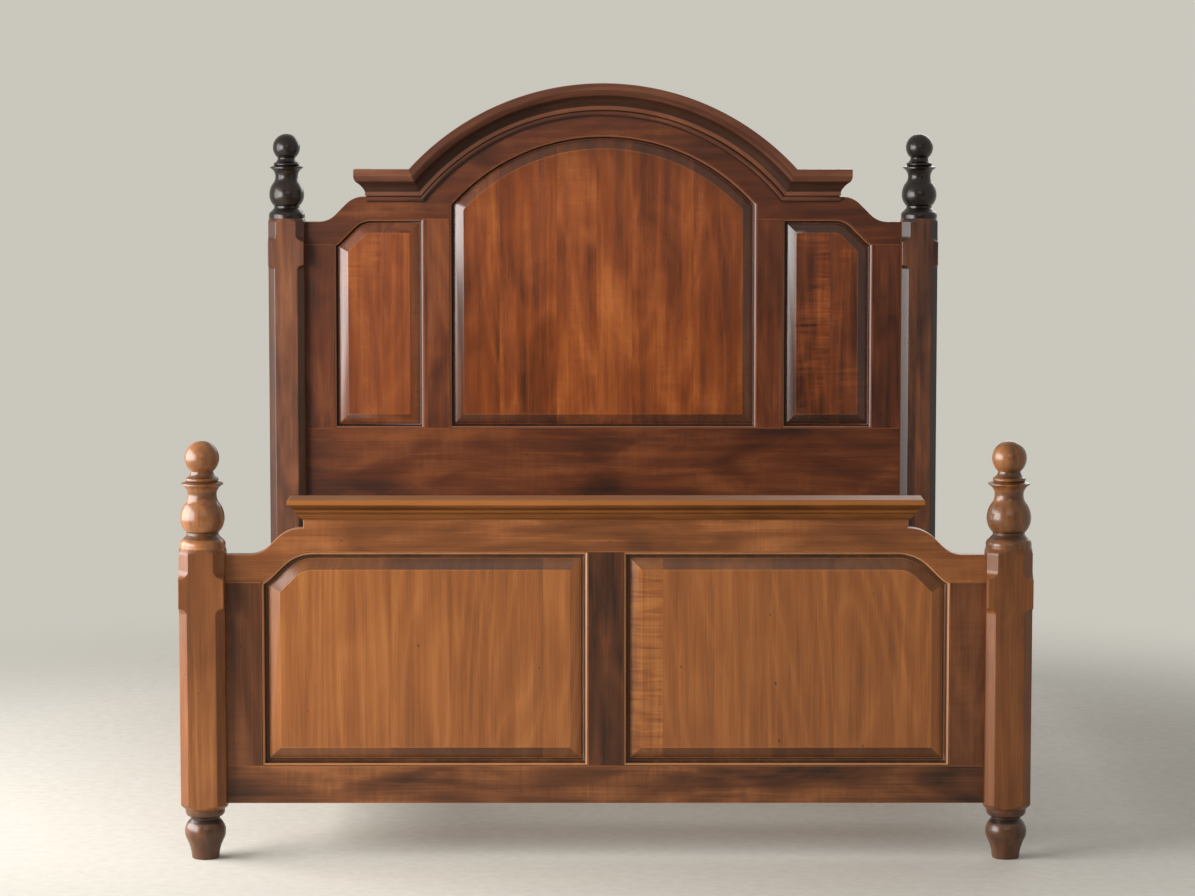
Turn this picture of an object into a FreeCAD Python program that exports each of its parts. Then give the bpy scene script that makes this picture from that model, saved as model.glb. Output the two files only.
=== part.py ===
import FreeCAD, Part
import math
import os
import Sketcher
from FreeCAD import Placement, Rotation, Vector
from functools import partial
from types import SimpleNamespace

# A queen size panel bed: arched headboard, lower footboard, side rails, slats and centre legs.
# The part stands on the floor with its origin under the middle of its footprint: +Z is up, +X is the
# right-hand side seen from the foot end, the footboard is at -Y and the headboard at +Y.
# Lengths are in millimetres.

DIMENSIONS = [
    # The bed as a whole
    ("mattress_width", 1524, "clear width between the posts"),
    ("rail_length", 2083, "clear length between the foot posts and the head posts"),
    ("post_width", 92, "square section of each post"),
    ("foot_height", 102, "turned foot, floor to the underside of the post"),
    ("board_setback", 36, "front face of each board behind the front face of its posts"),
    ("board_thickness", 28, "rails and stiles of both boards"),
    # Posts
    ("footboard_post_rise", 13.5, "top of the foot posts above the low ends of the top rail"),
    ("headboard_post_rise", 9.5, "top of the head posts above the low ends of the top rail"),
    ("block_drop", 60, "top of a post down to its square block"),
    ("block_height", 58, "square block between the two chamfered lengths"),
    ("upper_chamfer", 20.5, "leg of the corner chamfer above the block"),
    ("lower_chamfer", 17, "leg of the corner chamfer below the block"),
    ("upper_stop", 18, "scooped end of the upper chamfer"),
    ("lower_stop", 12, "scooped end of the lower chamfer"),
    ("post_top_radius", 46, "turned shoulder at the top of a post"),
    ("post_top_shoulder", 12, "height of that shoulder"),
    ("post_base_radius", 41, "turned shoulder at the bottom of a post"),
    ("post_base_shoulder", 11, "height of that shoulder"),
    ("shoulder_run", 54, "radius at which both shoulders run out on the flats"),
    # Finial, heights above the top of the post
    ("finial_ring_radius", 46, "ring that stands on the post"),
    ("finial_ring_height", 7, "straight part of that ring"),
    ("finial_ovolo_radius", 39.3, "top of the rounded part of the ring"),
    ("finial_ovolo_height", 18, "height of that edge"),
    ("finial_ovolo_round", 13, "radius of that rounding"),
    ("finial_low_neck_radius", 32.3, "neck under the vase"),
    ("finial_low_neck_height", 26, "bottom of that neck"),
    ("finial_low_neck_top", 31, "top of that neck"),
    ("finial_vase_radius", 44.5, "widest part of the vase"),
    ("finial_vase_height", 59, "height of the widest part"),
    ("finial_waist_radius", 36.6, "where the vase turns from full to hollow"),
    ("finial_waist_height", 87, "height of that turn"),
    ("finial_neck_radius", 28.8, "neck above the vase"),
    ("finial_neck_height", 106, "height of that neck"),
    ("finial_collar_radius", 42, "thin collar"),
    ("finial_collar_height", 127.5, "underside of the collar's edge"),
    ("finial_collar_edge", 2.6, "thickness of the collar's edge"),
    ("finial_bead_radius", 31, "small bead on the collar"),
    ("finial_bead_height", 134, "bottom of that bead"),
    ("finial_bead_width", 7, "height of that bead"),
    ("finial_bead_round", 4, "radius of the bead's edge"),
    ("finial_throat_radius", 22.5, "throat under the ball"),
    ("finial_throat_hollow", 14, "radius of the hollow from the bead to the throat"),
    ("finial_ball_radius", 34.6, "ball"),
    ("finial_ball_height", 180, "centre of the ball"),
    # Turned foot, drops from the underside of the post
    ("foot_toe_radius", 25, "flat that stands on the floor"),
    ("foot_toe_edge", 3, "rounded edge of the toe"),
    ("foot_ankle_radius", 27.6, "ankle above the toe"),
    ("foot_calf_radius", 36.7, "where the ankle meets the bulb"),
    ("foot_calf_drop", 64, "that line below the post"),
    ("foot_ankle_hollow", 91, "radius of the hollow between them"),
    ("foot_bulb_radius", 41.5, "widest part of the bulb"),
    ("foot_bulb_drop", 47, "the widest part below the post"),
    ("foot_bulb_top_radius", 35.7, "top of the bulb"),
    ("foot_bulb_top_drop", 28, "that line below the post"),
    ("foot_neck_radius", 29.5, "neck above the bulb"),
    ("foot_neck_drop", 21, "bottom of that neck below the post"),
    ("foot_neck_width", 4, "height of that neck"),
    ("foot_cap_radius", 40, "ring under the post"),
    ("foot_cap_edge", 5, "straight upper part of that ring"),
    # Joinery of both boards
    ("groove_depth", 10, "groove for the panels and the stub tenons"),
    ("groove_setback", 14, "front of the groove behind the front of the board"),
    ("tongue_thickness", 6, "panel edge and stub tenons in that groove"),
    ("tongue_clearance", 0.2, "play of a tongue in the groove, each side"),
    ("panel_play", 0.8, "room for the panel to move at the bottom of the groove"),
    ("tenon_length", 30, "rail tenons in the posts"),
    ("tenon_thickness", 12, "rail tenons in the posts"),
    ("tenon_shoulder", 10, "rail above and below its tenon"),
    ("tenon_clearance", 0.2, "play of a tenon in its mortise"),
    ("field_setback", 3, "raised field of a panel behind the front of the board"),
    ("sticking_reveal", 1, "moulding behind the front of the board"),
    ("sticking_lip", 4, "front edge of the moulding"),
    # Footboard, from the floor up
    ("footboard_bottom", 113, "underside of the bottom rail"),
    ("footboard_bottom_rail", 76, "width of the bottom rail"),
    ("footboard_stile_length", 372, "stiles, bottom rail to top rail"),
    ("footboard_scoop_rise", 62.3, "top of the panel openings above the stiles"),
    ("footboard_shoulder_rise", 56.5, "low ends of the top rail above the stiles"),
    ("footboard_crest_rise", 53.5, "top rail beside the cap above those ends"),
    ("footboard_seat_rise", 18, "top rail under the cap bead above that"),
    ("footboard_stile_width", 71, "outer stiles"),
    ("footboard_mullion_width", 71, "middle stile"),
    ("footboard_scoop_radius", 74, "hollow part of the panels' scooped corner"),
    ("footboard_round_radius", 90, "full part of the panels' scooped corner"),
    ("footboard_sticking", 14, "width of the moulding round the panels"),
    ("footboard_bevel", 24, "width of the panels' bevel"),
    ("footboard_shoulder_width", 47, "low ends of the top rail, beside the posts"),
    ("footboard_crest_scoop", 57, "hollow part of the shoulder's curve"),
    ("footboard_crest_round", 75, "full part of the shoulder's curve"),
    ("footboard_seat_setback", 156.5, "end of the cap's seat from the post"),
    ("cap_bead_height", 20, "cap bead, both steps"),
    ("cap_bead_step", 11, "lower step of the cap bead"),
    ("cap_bead_overhang", 17, "upper step beyond the rail's end and faces"),
    ("cap_bead_draw", 4, "bottom of the upper step inside its top"),
    ("cap_step_overhang", 12, "lower step beyond the rail's end and faces"),
    ("cap_step_draw", 8, "bottom of the lower step inside its top"),
    ("cap_height", 22, "cap"),
    ("cap_overhang", 31, "cap beyond the rail's end and faces"),
    ("cap_nose", 16, "thick outer part of the cap"),
    ("cap_nose_round", 6, "rounding of its edges"),
    ("cap_undercut", 7, "that part beyond the cap's sloped underside"),
    ("cap_slope", 8, "run of that slope"),
    # Headboard, from the floor up
    ("headboard_bottom", 400, "underside of the bottom rail"),
    ("headboard_bottom_rail", 272, "width of the bottom rail"),
    ("headboard_stile_length", 471.5, "outer stiles, bottom rail to top rail"),
    ("headboard_scoop_rise", 65.5, "top of the side panels' openings above those stiles"),
    ("headboard_spring_rise", 37.1, "straight sides of the centre opening above the side openings"),
    ("headboard_arch_rise", 177.9, "top of the centre opening above its straight sides"),
    ("headboard_shoulder_rise", 58, "low ends of the top rail above the outer stiles"),
    ("headboard_crest_rise", 64, "top rail beside the crown above those ends"),
    ("crown_ear_rise", 70.5, "level ends of the crown above that"),
    ("crown_arch_rise", 218, "top of the crown's arch above its level ends"),
    ("headboard_stile_width", 73.5, "outer stiles"),
    ("headboard_side_opening", 229.5, "width of the side panels' openings"),
    ("headboard_mullion_width", 66, "stiles beside the centre panel"),
    ("headboard_scoop_radius", 57, "hollow part of the side panels' scooped corner"),
    ("headboard_round_radius", 62, "full part of the side panels' scooped corner"),
    ("headboard_sticking", 11, "width of the moulding round the panels"),
    ("headboard_bevel", 26, "width of the panels' bevel"),
    ("headboard_shoulder_width", 35, "low ends of the top rail, beside the posts"),
    ("headboard_crest_scoop", 60, "hollow part of the shoulder's curve"),
    ("headboard_crest_round", 62, "full part of the shoulder's curve"),
    ("crown_seat_setback", 160, "end of the crown's seat from the post"),
    ("crown_ear_length", 107.5, "level part of that seat"),
    ("crown_end_step", 5, "crown and bead stand out this much less at their ends than in front"),
    ("crown_height", 58, "face of the crown"),
    ("crown_projection", 38, "crown in front of the top rail"),
    ("crown_foot", 11, "bottom of the crown in front of the top rail"),
    ("crown_lip", 17, "flat upper part of the crown's face"),
    ("crown_round", 24, "radius of the round under that"),
    ("crown_hollow", 60, "radius of the hollow under the round"),
    ("crown_reveal", 3, "top rail below the top of the crown"),
    ("bead_height", 26, "bead moulding under the crown"),
    ("bead_projection", 10, "bead moulding in front of the top rail"),
    ("bead_round_height", 15, "rounded lower part of the bead moulding"),
    ("bead_round", 8.5, "radius of that part"),
    ("bead_set_in", 3, "that part behind the rest"),
    # Side rails, slats and centre legs
    ("side_rail_thickness", 26, "side rails"),
    ("side_rail_height", 190, "side rails"),
    ("side_rail_bottom", 190, "underside of the side rails"),
    ("side_rail_set_out", 13, "inner face of a side rail outside the inner faces of the posts"),
    ("cleat_width", 30, "slat cleats"),
    ("cleat_height", 38, "slat cleats"),
    ("cleat_lift", 12, "cleats above the underside of the side rails"),
    ("cleat_inset", 60, "end of a cleat from the end of its rail"),
    ("cleat_screw_lift", 12.7, "cleat screws above the underside of the cleat"),
    ("slat_width", 89, "slats"),
    ("slat_thickness", 22, "slats"),
    ("slat_spacing", 430, "from slat to slat"),
    ("slat_end_gap", 1.5, "end of a slat to the side rail"),
    ("leg_width", 45, "centre legs"),
    ("glide_radius", 16, "levelling glide"),
    ("glide_height", 10, "levelling glide under its leg"),
    ("glide_edge", 2, "rounded edge of the glide"),
    ("stem_radius", 4, "stem of a levelling glide"),
    ("stem_length", 34, "stem of a levelling glide"),
    ("stem_clearance", 0.1, "play of the stem in its insert"),
    ("insert_radius", 5.5, "barrel of the threaded insert"),
    ("insert_length", 12, "barrel of the threaded insert"),
    ("insert_flange_radius", 10, "flange of the threaded insert"),
    ("insert_flange", 1.5, "thickness of that flange"),
    ("stem_bore_depth", 44, "bore in the leg above its end"),
    # Fastenings
    ("dowel_radius", 8, "dowels in the finials and the feet"),
    ("dowel_reach", 30, "dowel on each side of its joint"),
    ("fixing_clearance", 0.05, "radial play of dowels and screws"),
    ("screw_radius", 2.2, "shank of the wood screws"),
    ("screw_head_radius", 4.2, "head of the wood screws"),
    ("screw_head", 3, "head of the wood screws"),
    ("cleat_screw_length", 48, "screws through a cleat into its rail"),
    ("cleat_screw_spacing", 380, "from cleat screw to cleat screw"),
    ("slat_screw_length", 44, "screws through a slat"),
    ("hook_plate_width", 20, "bed hook plates"),
    ("hook_plate_height", 130, "bed hook plates"),
    ("hook_plate_thickness", 3, "bed hook plates and receivers"),
    ("hook_blade_thickness", 4, "hooks"),
    ("hook_blade_reach", 14, "hooks beyond their plate"),
    ("hook_blade_height", 24, "hooks"),
    ("hook_notch", 8, "notch in a hook that holds the receiver"),
    ("hook_spacing", 70, "from hook to hook"),
    ("hook_slot_play", 0.6, "slot round a hook"),
    ("hook_drop", 10, "slot below a hook, in which the hook drops home"),
    ("plate_clearance", 0.1, "recess round a plate"),
]

SLAT_COUNT = 5
CLEAT_SCREW_COUNT = 5
LEG_ROWS = (-1, 0, 1)       # the centre legs stand under the middle slats
SIDES = {"left": -1, "right": 1}
SCOOP_ANGLE = 27            # degrees at which the panels' scoops leave the stiles
CROWN_ANGLE = 40            # degrees through which the crown's round turns under
ARCH_BLANK_ANGLE = 120      # degrees of arch that are turned and then mitred
CORNER_ANGLE = 45           # degrees from a post's face to the plane through its corner

doc = FreeCAD.newDocument("PanelBed")
sheet = doc.addObject("Spreadsheet::Sheet", "Dimensions")
for row, (name, number, meaning) in enumerate(DIMENSIONS, start=1):
    sheet.set(f"A{row}", name)
    sheet.set(f"B{row}", str(number))
    sheet.setAlias(f"B{row}", name)
    sheet.set(f"C{row}", meaning)
doc.recompute()


# ---------------------------------------------------------------------------------------------
# Lengths that stay bound to the sheet
# ---------------------------------------------------------------------------------------------

class Size:
    """A length together with its formula, so that whatever is worked out from the sheet stays bound to it."""

    def __init__(self, value, formula):
        self.value = float(value)
        self.formula = formula

    def __add__(self, other):
        other = as_size(other)
        return Size(self.value + other.value, f"({self.formula} + {other.formula})")

    def __sub__(self, other):
        other = as_size(other)
        return Size(self.value - other.value, f"({self.formula} - {other.formula})")

    def __mul__(self, other):
        other = as_size(other)
        return Size(self.value * other.value, f"({self.formula} * {other.formula})")

    def __truediv__(self, other):
        other = as_size(other)
        return Size(self.value / other.value, f"({self.formula} / {other.formula})")

    def __neg__(self):
        return self * -1

    def __rsub__(self, other):
        return as_size(other) - self

    __radd__ = __add__
    __rmul__ = __mul__


def as_size(number):
    return number if isinstance(number, Size) else Size(number, f"({number!r})")


def root(size):
    return Size(math.sqrt(size.value), f"sqrt({size.formula})")


size = SimpleNamespace(**{name: Size(sheet.get(name), f"Dimensions.{name}") for name, _, _ in DIMENSIONS})

def sine(angle):
    return as_size(round(math.sin(math.radians(angle)), 6))


def cosine(angle):
    return as_size(round(math.cos(math.radians(angle)), 6))


def arc_radius(half_chord, rise):
    """Radius of an arc from half its chord and its rise."""
    return (half_chord * half_chord + rise * rise) / (rise * 2)


ZERO = as_size(0)
DIAGONAL = root(as_size(0.5))           # sine and cosine of 45 degrees
OVERCUT = 5                             # how far a cutting outline runs past the wood
TOUCHING = 0.001                        # two places nearer than this are the same


# ---------------------------------------------------------------------------------------------
# Outlines. A corner is (x, y) where a straight edge arrives, or (x, y, radius, turn) where an arc
# arrives, with turn +1 for an anticlockwise arc and -1 for a clockwise one.
# ---------------------------------------------------------------------------------------------

def rectangle(x_low, y_low, x_high, y_high):
    return [(x_low, y_low), (x_high, y_low), (x_high, y_high), (x_low, y_high)]


def mirrored(loop):
    """The same closed outline on the other side of the centre line."""
    return [(-corner[0], corner[1]) + turned_over(corner[2:]) for corner in loop]


def turned_over(arc):
    return (arc[0], -arc[1]) if arc else ()


def completed(path):
    """A path on the right of the centre line, followed by its mirror image back to the start."""
    way_back = [(-path[-1][0], path[-1][1])]
    for point, edge in zip(reversed(path[:-1]), reversed(path[1:])):
        way_back.append((-point[0], point[1]) + tuple(edge[2:]))
    return path + way_back


def on_side(loop, side):
    return loop if side > 0 else mirrored(loop)


def scoop(outer, start, top, angle, hollow, full, inset=ZERO):
    """The S-shaped corner of a rail or panel, from its outer end up to its level top.

    It leaves (outer, start) at the given angle, steepens to 45 degrees on the hollow arc, runs straight,
    and levels out on the full arc. inset moves the whole line into the panel.
    """
    straight = top - start - hollow * (cosine(angle) - DIAGONAL) - full * (1 - DIAGONAL)
    hollow_x = outer + hollow * sine(angle)
    hollow_y = start + hollow * cosine(angle)
    full_x = hollow_x - hollow * DIAGONAL - straight - full * DIAGONAL
    full_y = top - full
    outer_arc = hollow + inset
    inner_arc = full - inset
    start_sine = (hollow * sine(angle) + inset) / outer_arc
    start_cosine = root(1 - start_sine * start_sine)
    return [
        (outer - inset, hollow_y - outer_arc * start_cosine),
        (hollow_x - outer_arc * DIAGONAL, hollow_y - outer_arc * DIAGONAL, outer_arc, -1),
        (full_x + inner_arc * DIAGONAL, full_y + inner_arc * DIAGONAL),
        (full_x, full_y + inner_arc, inner_arc, 1),
    ]


def opening_scoop(opening, inset):
    return scoop(opening.outer, opening.corner, opening.top, SCOOP_ANGLE, opening.hollow, opening.full, inset)


def scooped_opening(opening, inset):
    """A panel opening with one scooped top corner, on the right of the centre line."""
    return [(opening.inner + inset, opening.bottom + inset), (opening.outer - inset, opening.bottom + inset),
            *opening_scoop(opening, inset), (opening.inner + inset, opening.top - inset)]


def arch_spring(half, radius, centre):
    return centre + root(radius * radius - half * half)


def arched_opening(opening, inset):
    half = opening.half - inset
    radius = opening.radius - inset
    spring = arch_spring(half, radius, opening.centre)
    return [(-half, opening.bottom + inset), (half, opening.bottom + inset), (half, spring),
            (-half, spring, radius, 1)]


# ---------------------------------------------------------------------------------------------
# Sketches and features
# ---------------------------------------------------------------------------------------------

def bind(item, path, length):
    item.setExpression(path, as_size(length).formula)


def new_body(label, x=ZERO, y=ZERO, z=ZERO):
    body = doc.addObject("PartDesign::Body", label)
    body.Label = label
    for axis, length in (("x", x), ("y", y), ("z", z)):
        bind(body, f"Placement.Base.{axis}", length)
    return body


def new_sketch(body, plane, offset=ZERO, turned=0):
    """A sketch on one of the body's own planes, moved along the plane's normal by offset.

    The normals are +Z on XY, -Y on XZ and +X on YZ. An XZ sketch can be turned about the body's Z axis.
    """
    sketch = body.newObject("Sketcher::SketchObject", f"{body.Label}_outline")
    support = [item for item in body.Origin.OriginFeatures if item.Role == f"{plane}_Plane"]
    sketch.AttachmentSupport = (support[0], [""])
    sketch.MapMode = "FlatFace"
    away = Vector(0, 0, as_size(offset).value)
    sketch.AttachmentOffset = Placement(away, Rotation(Vector(0, 1, 0), turned))
    bind(sketch, "AttachmentOffset.Base.z", offset)
    return sketch


def arc_between(start, end, radius, turn):
    half_chord = (end - start) * 0.5
    reach = math.sqrt(max(radius ** 2 - half_chord.Length ** 2, 0))
    across = Vector(-half_chord.y, half_chord.x, 0).normalize() * turn
    middle = start + half_chord + across * (reach - radius)
    return Part.Arc(start, middle, end) if turn > 0 else Part.Arc(end, middle, start)


def end_at(edge, point):
    return 1 if (edge.StartPoint - point).Length < (edge.EndPoint - point).Length else 2


def draw(sketch, *loops):
    """Draw closed outlines and hold every corner and radius with its formula."""
    for loop in loops:
        loop = [(as_size(corner[0]), as_size(corner[1]), *corner[2:]) for corner in loop]
        points = [Vector(corner[0].value, corner[1].value, 0) for corner in loop]
        first = sketch.GeometryCount
        edges = []
        for index, corner in enumerate(loop):
            start, end = points[index - 1], points[index]
            if len(corner) == 2:
                edges.append(Part.LineSegment(start, end))
            else:
                edges.append(arc_between(start, end, corner[2].value, corner[3]))
        sketch.addGeometry(edges, False)
        edges = sketch.Geometry[first:]
        constraints = []
        formulas = []
        for index, corner in enumerate(loop):
            following = (index + 1) % len(loop)
            arriving = end_at(edges[index], points[index])
            leaving = end_at(edges[following], points[index])
            joint = (first + index, arriving, first + following, leaving)
            constraints.append(Sketcher.Constraint("Coincident", *joint))
            formulas.append(None)
            for kind, length in (("DistanceX", corner[0]), ("DistanceY", corner[1])):
                constraints.append(Sketcher.Constraint(kind, -1, 1, first + index, arriving, length.value))
                formulas.append(length)
            if len(corner) == 4:
                constraints.append(Sketcher.Constraint("Radius", first + index, corner[2].value))
                formulas.append(corner[2])
        add_constraints(sketch, constraints, formulas)
    return sketch


def draw_circles(sketch, centres, radius):
    first = sketch.GeometryCount
    constraints = []
    formulas = []
    for index, (x, y) in enumerate(centres):
        x, y = as_size(x), as_size(y)
        sketch.addGeometry(Part.Circle(Vector(x.value, y.value, 0), Vector(0, 0, 1), radius.value), False)
        constraints.append(Sketcher.Constraint("DistanceX", -1, 1, first + index, 3, x.value))
        constraints.append(Sketcher.Constraint("DistanceY", -1, 1, first + index, 3, y.value))
        constraints.append(Sketcher.Constraint("Radius", first + index, radius.value))
        formulas += [x, y, radius]
    add_constraints(sketch, constraints, formulas)
    return sketch


def add_constraints(sketch, constraints, formulas):
    first = sketch.ConstraintCount
    sketch.addConstraint(constraints)
    for index, length in enumerate(formulas, start=first):
        if length is not None:
            sketch.setExpression(f"Constraints[{index}]", length.formula)


def pad(body, sketch, length, backward=False, both_ways=False):
    """Add the sketched outline, along the sketch's normal or backward from it."""
    feature = body.newObject("PartDesign::Pad", "Pad")
    feature.Profile = sketch
    feature.SideType = "Symmetric" if both_ways else "One side"
    feature.Reversed = backward
    bind(feature, "Length", length)
    return feature


def pocket(body, sketch, length, forward=False, both_ways=False):
    """Cut the sketched outline, against the sketch's normal or forward along it."""
    feature = body.newObject("PartDesign::Pocket", "Pocket")
    feature.Profile = sketch
    feature.SideType = "Symmetric" if both_ways else "One side"
    feature.Reversed = forward
    bind(feature, "Length", length)
    return feature


def turn(body, sketch, kind="PartDesign::Revolution", axis="V_Axis", angle=360, both_ways=False):
    feature = body.newObject(kind, kind.split("::")[1])
    feature.Profile = sketch
    feature.ReferenceAxis = (sketch, [axis])
    feature.Angle = angle
    feature.Midplane = both_ways
    return feature


def loft(body, kind, first, second):
    feature = body.newObject(kind, kind.split("::")[1])
    feature.Profile = first
    feature.Sections = [second]
    feature.Ruled = True
    return feature


# ---------------------------------------------------------------------------------------------
# Places that several pieces share
# ---------------------------------------------------------------------------------------------

post_half = size.post_width / 2
post_x = size.mattress_width / 2 + post_half
inner_x = size.mattress_width / 2
footboard_y = -(size.rail_length / 2 + post_half)       # axis of the foot posts
headboard_y = size.rail_length / 2 + post_half          # axis of the head posts
rail_end = size.rail_length / 2
footboard_front = footboard_y - post_half + size.board_setback
headboard_front = headboard_y - post_half + size.board_setback
board_middle = size.board_setback + size.board_thickness / 2 - post_half    # behind the axis of the posts
side_rail_inner = inner_x + size.side_rail_set_out
side_rail_x = side_rail_inner + size.side_rail_thickness / 2
side_rail_middle = size.side_rail_bottom + size.side_rail_height / 2
cleat_bottom = size.side_rail_bottom + size.cleat_lift
cleat_top = cleat_bottom + size.cleat_height
slat_top = cleat_top + size.slat_thickness
groove_width = size.tongue_thickness + size.tongue_clearance * 2
tongue_setback = size.groove_setback + size.tongue_clearance
stub_length = size.groove_depth - size.tongue_clearance
panel_edge = size.groove_depth - size.panel_play
dowel_bore = size.dowel_radius + size.fixing_clearance
screw_bore = size.screw_radius + size.fixing_clearance
screw_sink = size.screw_head_radius + size.fixing_clearance

footboard_rail_top = size.footboard_bottom + size.footboard_bottom_rail
footboard_corner = footboard_rail_top + size.footboard_stile_length
footboard_shoulder = footboard_corner + size.footboard_shoulder_rise
footboard_crest = footboard_shoulder + size.footboard_crest_rise
footboard_seat = footboard_crest + size.footboard_seat_rise
footboard_seat_half = inner_x - size.footboard_seat_setback
footboard_post_top = footboard_shoulder + size.footboard_post_rise

headboard_rail_top = size.headboard_bottom + size.headboard_bottom_rail
headboard_corner = headboard_rail_top + size.headboard_stile_length
headboard_shoulder = headboard_corner + size.headboard_shoulder_rise
headboard_crest = headboard_shoulder + size.headboard_crest_rise
headboard_post_top = headboard_shoulder + size.headboard_post_rise
side_opening_inner = inner_x - size.headboard_stile_width - size.headboard_side_opening
centre_half = side_opening_inner - size.headboard_mullion_width
centre_radius = arc_radius(centre_half, size.headboard_arch_rise)
centre_spring = headboard_corner + size.headboard_scoop_rise + size.headboard_spring_rise

crown_seat_half = inner_x - size.crown_seat_setback
crown_ear_top = headboard_crest + size.crown_ear_rise
crown_radius = arc_radius(crown_seat_half - size.crown_ear_length, size.crown_arch_rise)
crown_centre = crown_ear_top + size.crown_arch_rise - crown_radius
crown_cut = (size.crown_projection + OVERCUT) * 2

footboard_opening = SimpleNamespace(
    inner=size.footboard_mullion_width / 2, outer=inner_x - size.footboard_stile_width,
    bottom=footboard_rail_top, corner=footboard_corner, top=footboard_corner + size.footboard_scoop_rise,
    hollow=size.footboard_scoop_radius, full=size.footboard_round_radius)
side_opening = SimpleNamespace(
    inner=side_opening_inner, outer=inner_x - size.headboard_stile_width,
    bottom=headboard_rail_top, corner=headboard_corner, top=headboard_corner + size.headboard_scoop_rise,
    hollow=size.headboard_scoop_radius, full=size.headboard_round_radius)
centre_opening = SimpleNamespace(
    half=centre_half, bottom=headboard_rail_top,
    radius=centre_radius, centre=centre_spring + size.headboard_arch_rise - centre_radius)


def rail_tenons(bottom, rail_top, corner, shoulder):
    """Bottom and top of the tenons of a board's bottom rail and of its top rail."""
    return [(bottom + size.tenon_shoulder, rail_top - size.groove_depth - size.tenon_shoulder),
            (corner + size.groove_depth + size.tenon_shoulder / 2, shoulder - size.tenon_shoulder)]


footboard_tenons = rail_tenons(size.footboard_bottom, footboard_rail_top,
                               footboard_corner, footboard_shoulder)
headboard_tenons = rail_tenons(size.headboard_bottom, headboard_rail_top,
                               headboard_corner, headboard_shoulder)


# ---------------------------------------------------------------------------------------------
# Posts, finials and feet
# ---------------------------------------------------------------------------------------------

def chamfer_stop_radius(depth, stop):
    """Radius of the scooped end of a chamfer that sinks by depth over the length of the stop."""
    return (depth * depth + stop * stop) / (depth * 2)


def make_post(label, side, y, top, rail_side, tenons):
    """One post: square block, stopped chamfers above and below it, turned ends and the joints' recesses.

    rail_side is +1 where the side rail meets the post's back face and -1 where it meets the front.
    """
    body = new_body(label, x=post_x * side, y=y)
    square = rectangle(-post_half, -post_half, post_half, post_half)
    pad(body, draw(new_sketch(body, "XY", size.foot_height), square), top - size.foot_height)

    corner = post_half / DIAGONAL
    block_top = top - size.block_drop
    block_bottom = block_top - size.block_height
    upper_depth = size.upper_chamfer * DIAGONAL
    lower_depth = size.lower_chamfer * DIAGONAL
    upper = [(corner - upper_depth, top + OVERCUT),
             (corner - upper_depth, block_top + size.upper_stop),
             (corner, block_top, chamfer_stop_radius(upper_depth, size.upper_stop), 1),
             (corner + OVERCUT, block_top), (corner + OVERCUT, top + OVERCUT)]
    lower = [(corner + OVERCUT, size.foot_height - OVERCUT), (corner + OVERCUT, block_bottom),
             (corner, block_bottom),
             (corner - lower_depth, block_bottom - size.lower_stop,
              chamfer_stop_radius(lower_depth, size.lower_stop), 1),
             (corner - lower_depth, size.foot_height - OVERCUT)]
    diagonal = new_sketch(body, "XZ", turned=CORNER_ANGLE)
    chamfer = pocket(body, draw(diagonal, upper, lower), size.post_width, both_ways=True)
    corners = body.newObject("PartDesign::PolarPattern", "Corners")
    corners.Originals = [chamfer]
    corners.Axis = ([item for item in body.Origin.OriginFeatures if item.Role == "Z_Axis"][0], [""])
    corners.Angle = 360
    corners.Occurrences = 4
    body.Tip = corners

    outside = corner + OVERCUT
    bottom = size.foot_height
    run_out = top - size.post_top_shoulder
    shoulder_top = [(size.post_top_radius, top), (size.post_top_radius, top + OVERCUT),
                    (outside, top + OVERCUT), (outside, run_out), (size.shoulder_run, run_out)]
    run_out = bottom + size.post_base_shoulder
    shoulder_base = [(size.post_base_radius, bottom), (size.post_base_radius, bottom - OVERCUT),
                     (outside, bottom - OVERCUT), (outside, run_out), (size.shoulder_run, run_out)]
    turn(body, draw(new_sketch(body, "XZ"), shoulder_top, shoulder_base), "PartDesign::Groove")

    play = size.tenon_clearance
    front = board_middle - size.tenon_thickness / 2 - play
    back = board_middle + size.tenon_thickness / 2 + play
    mortises = [rectangle(front, low - play, back, high + play) for low, high in tenons]
    mortise = draw(new_sketch(body, "YZ", post_half * -side), *mortises)
    pocket(body, mortise, size.tenon_length + play * 2, forward=side > 0)

    for height, inward in ((top, False), (size.foot_height, True)):
        pocket(body, draw_circles(new_sketch(body, "XY", height), [(ZERO, ZERO)], dowel_bore),
               size.dowel_reach, forward=inward)
    cut_hook_recess(body, (side_rail_x - post_x) * side, post_half * -rail_side, forward=rail_side > 0)
    return body


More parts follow.
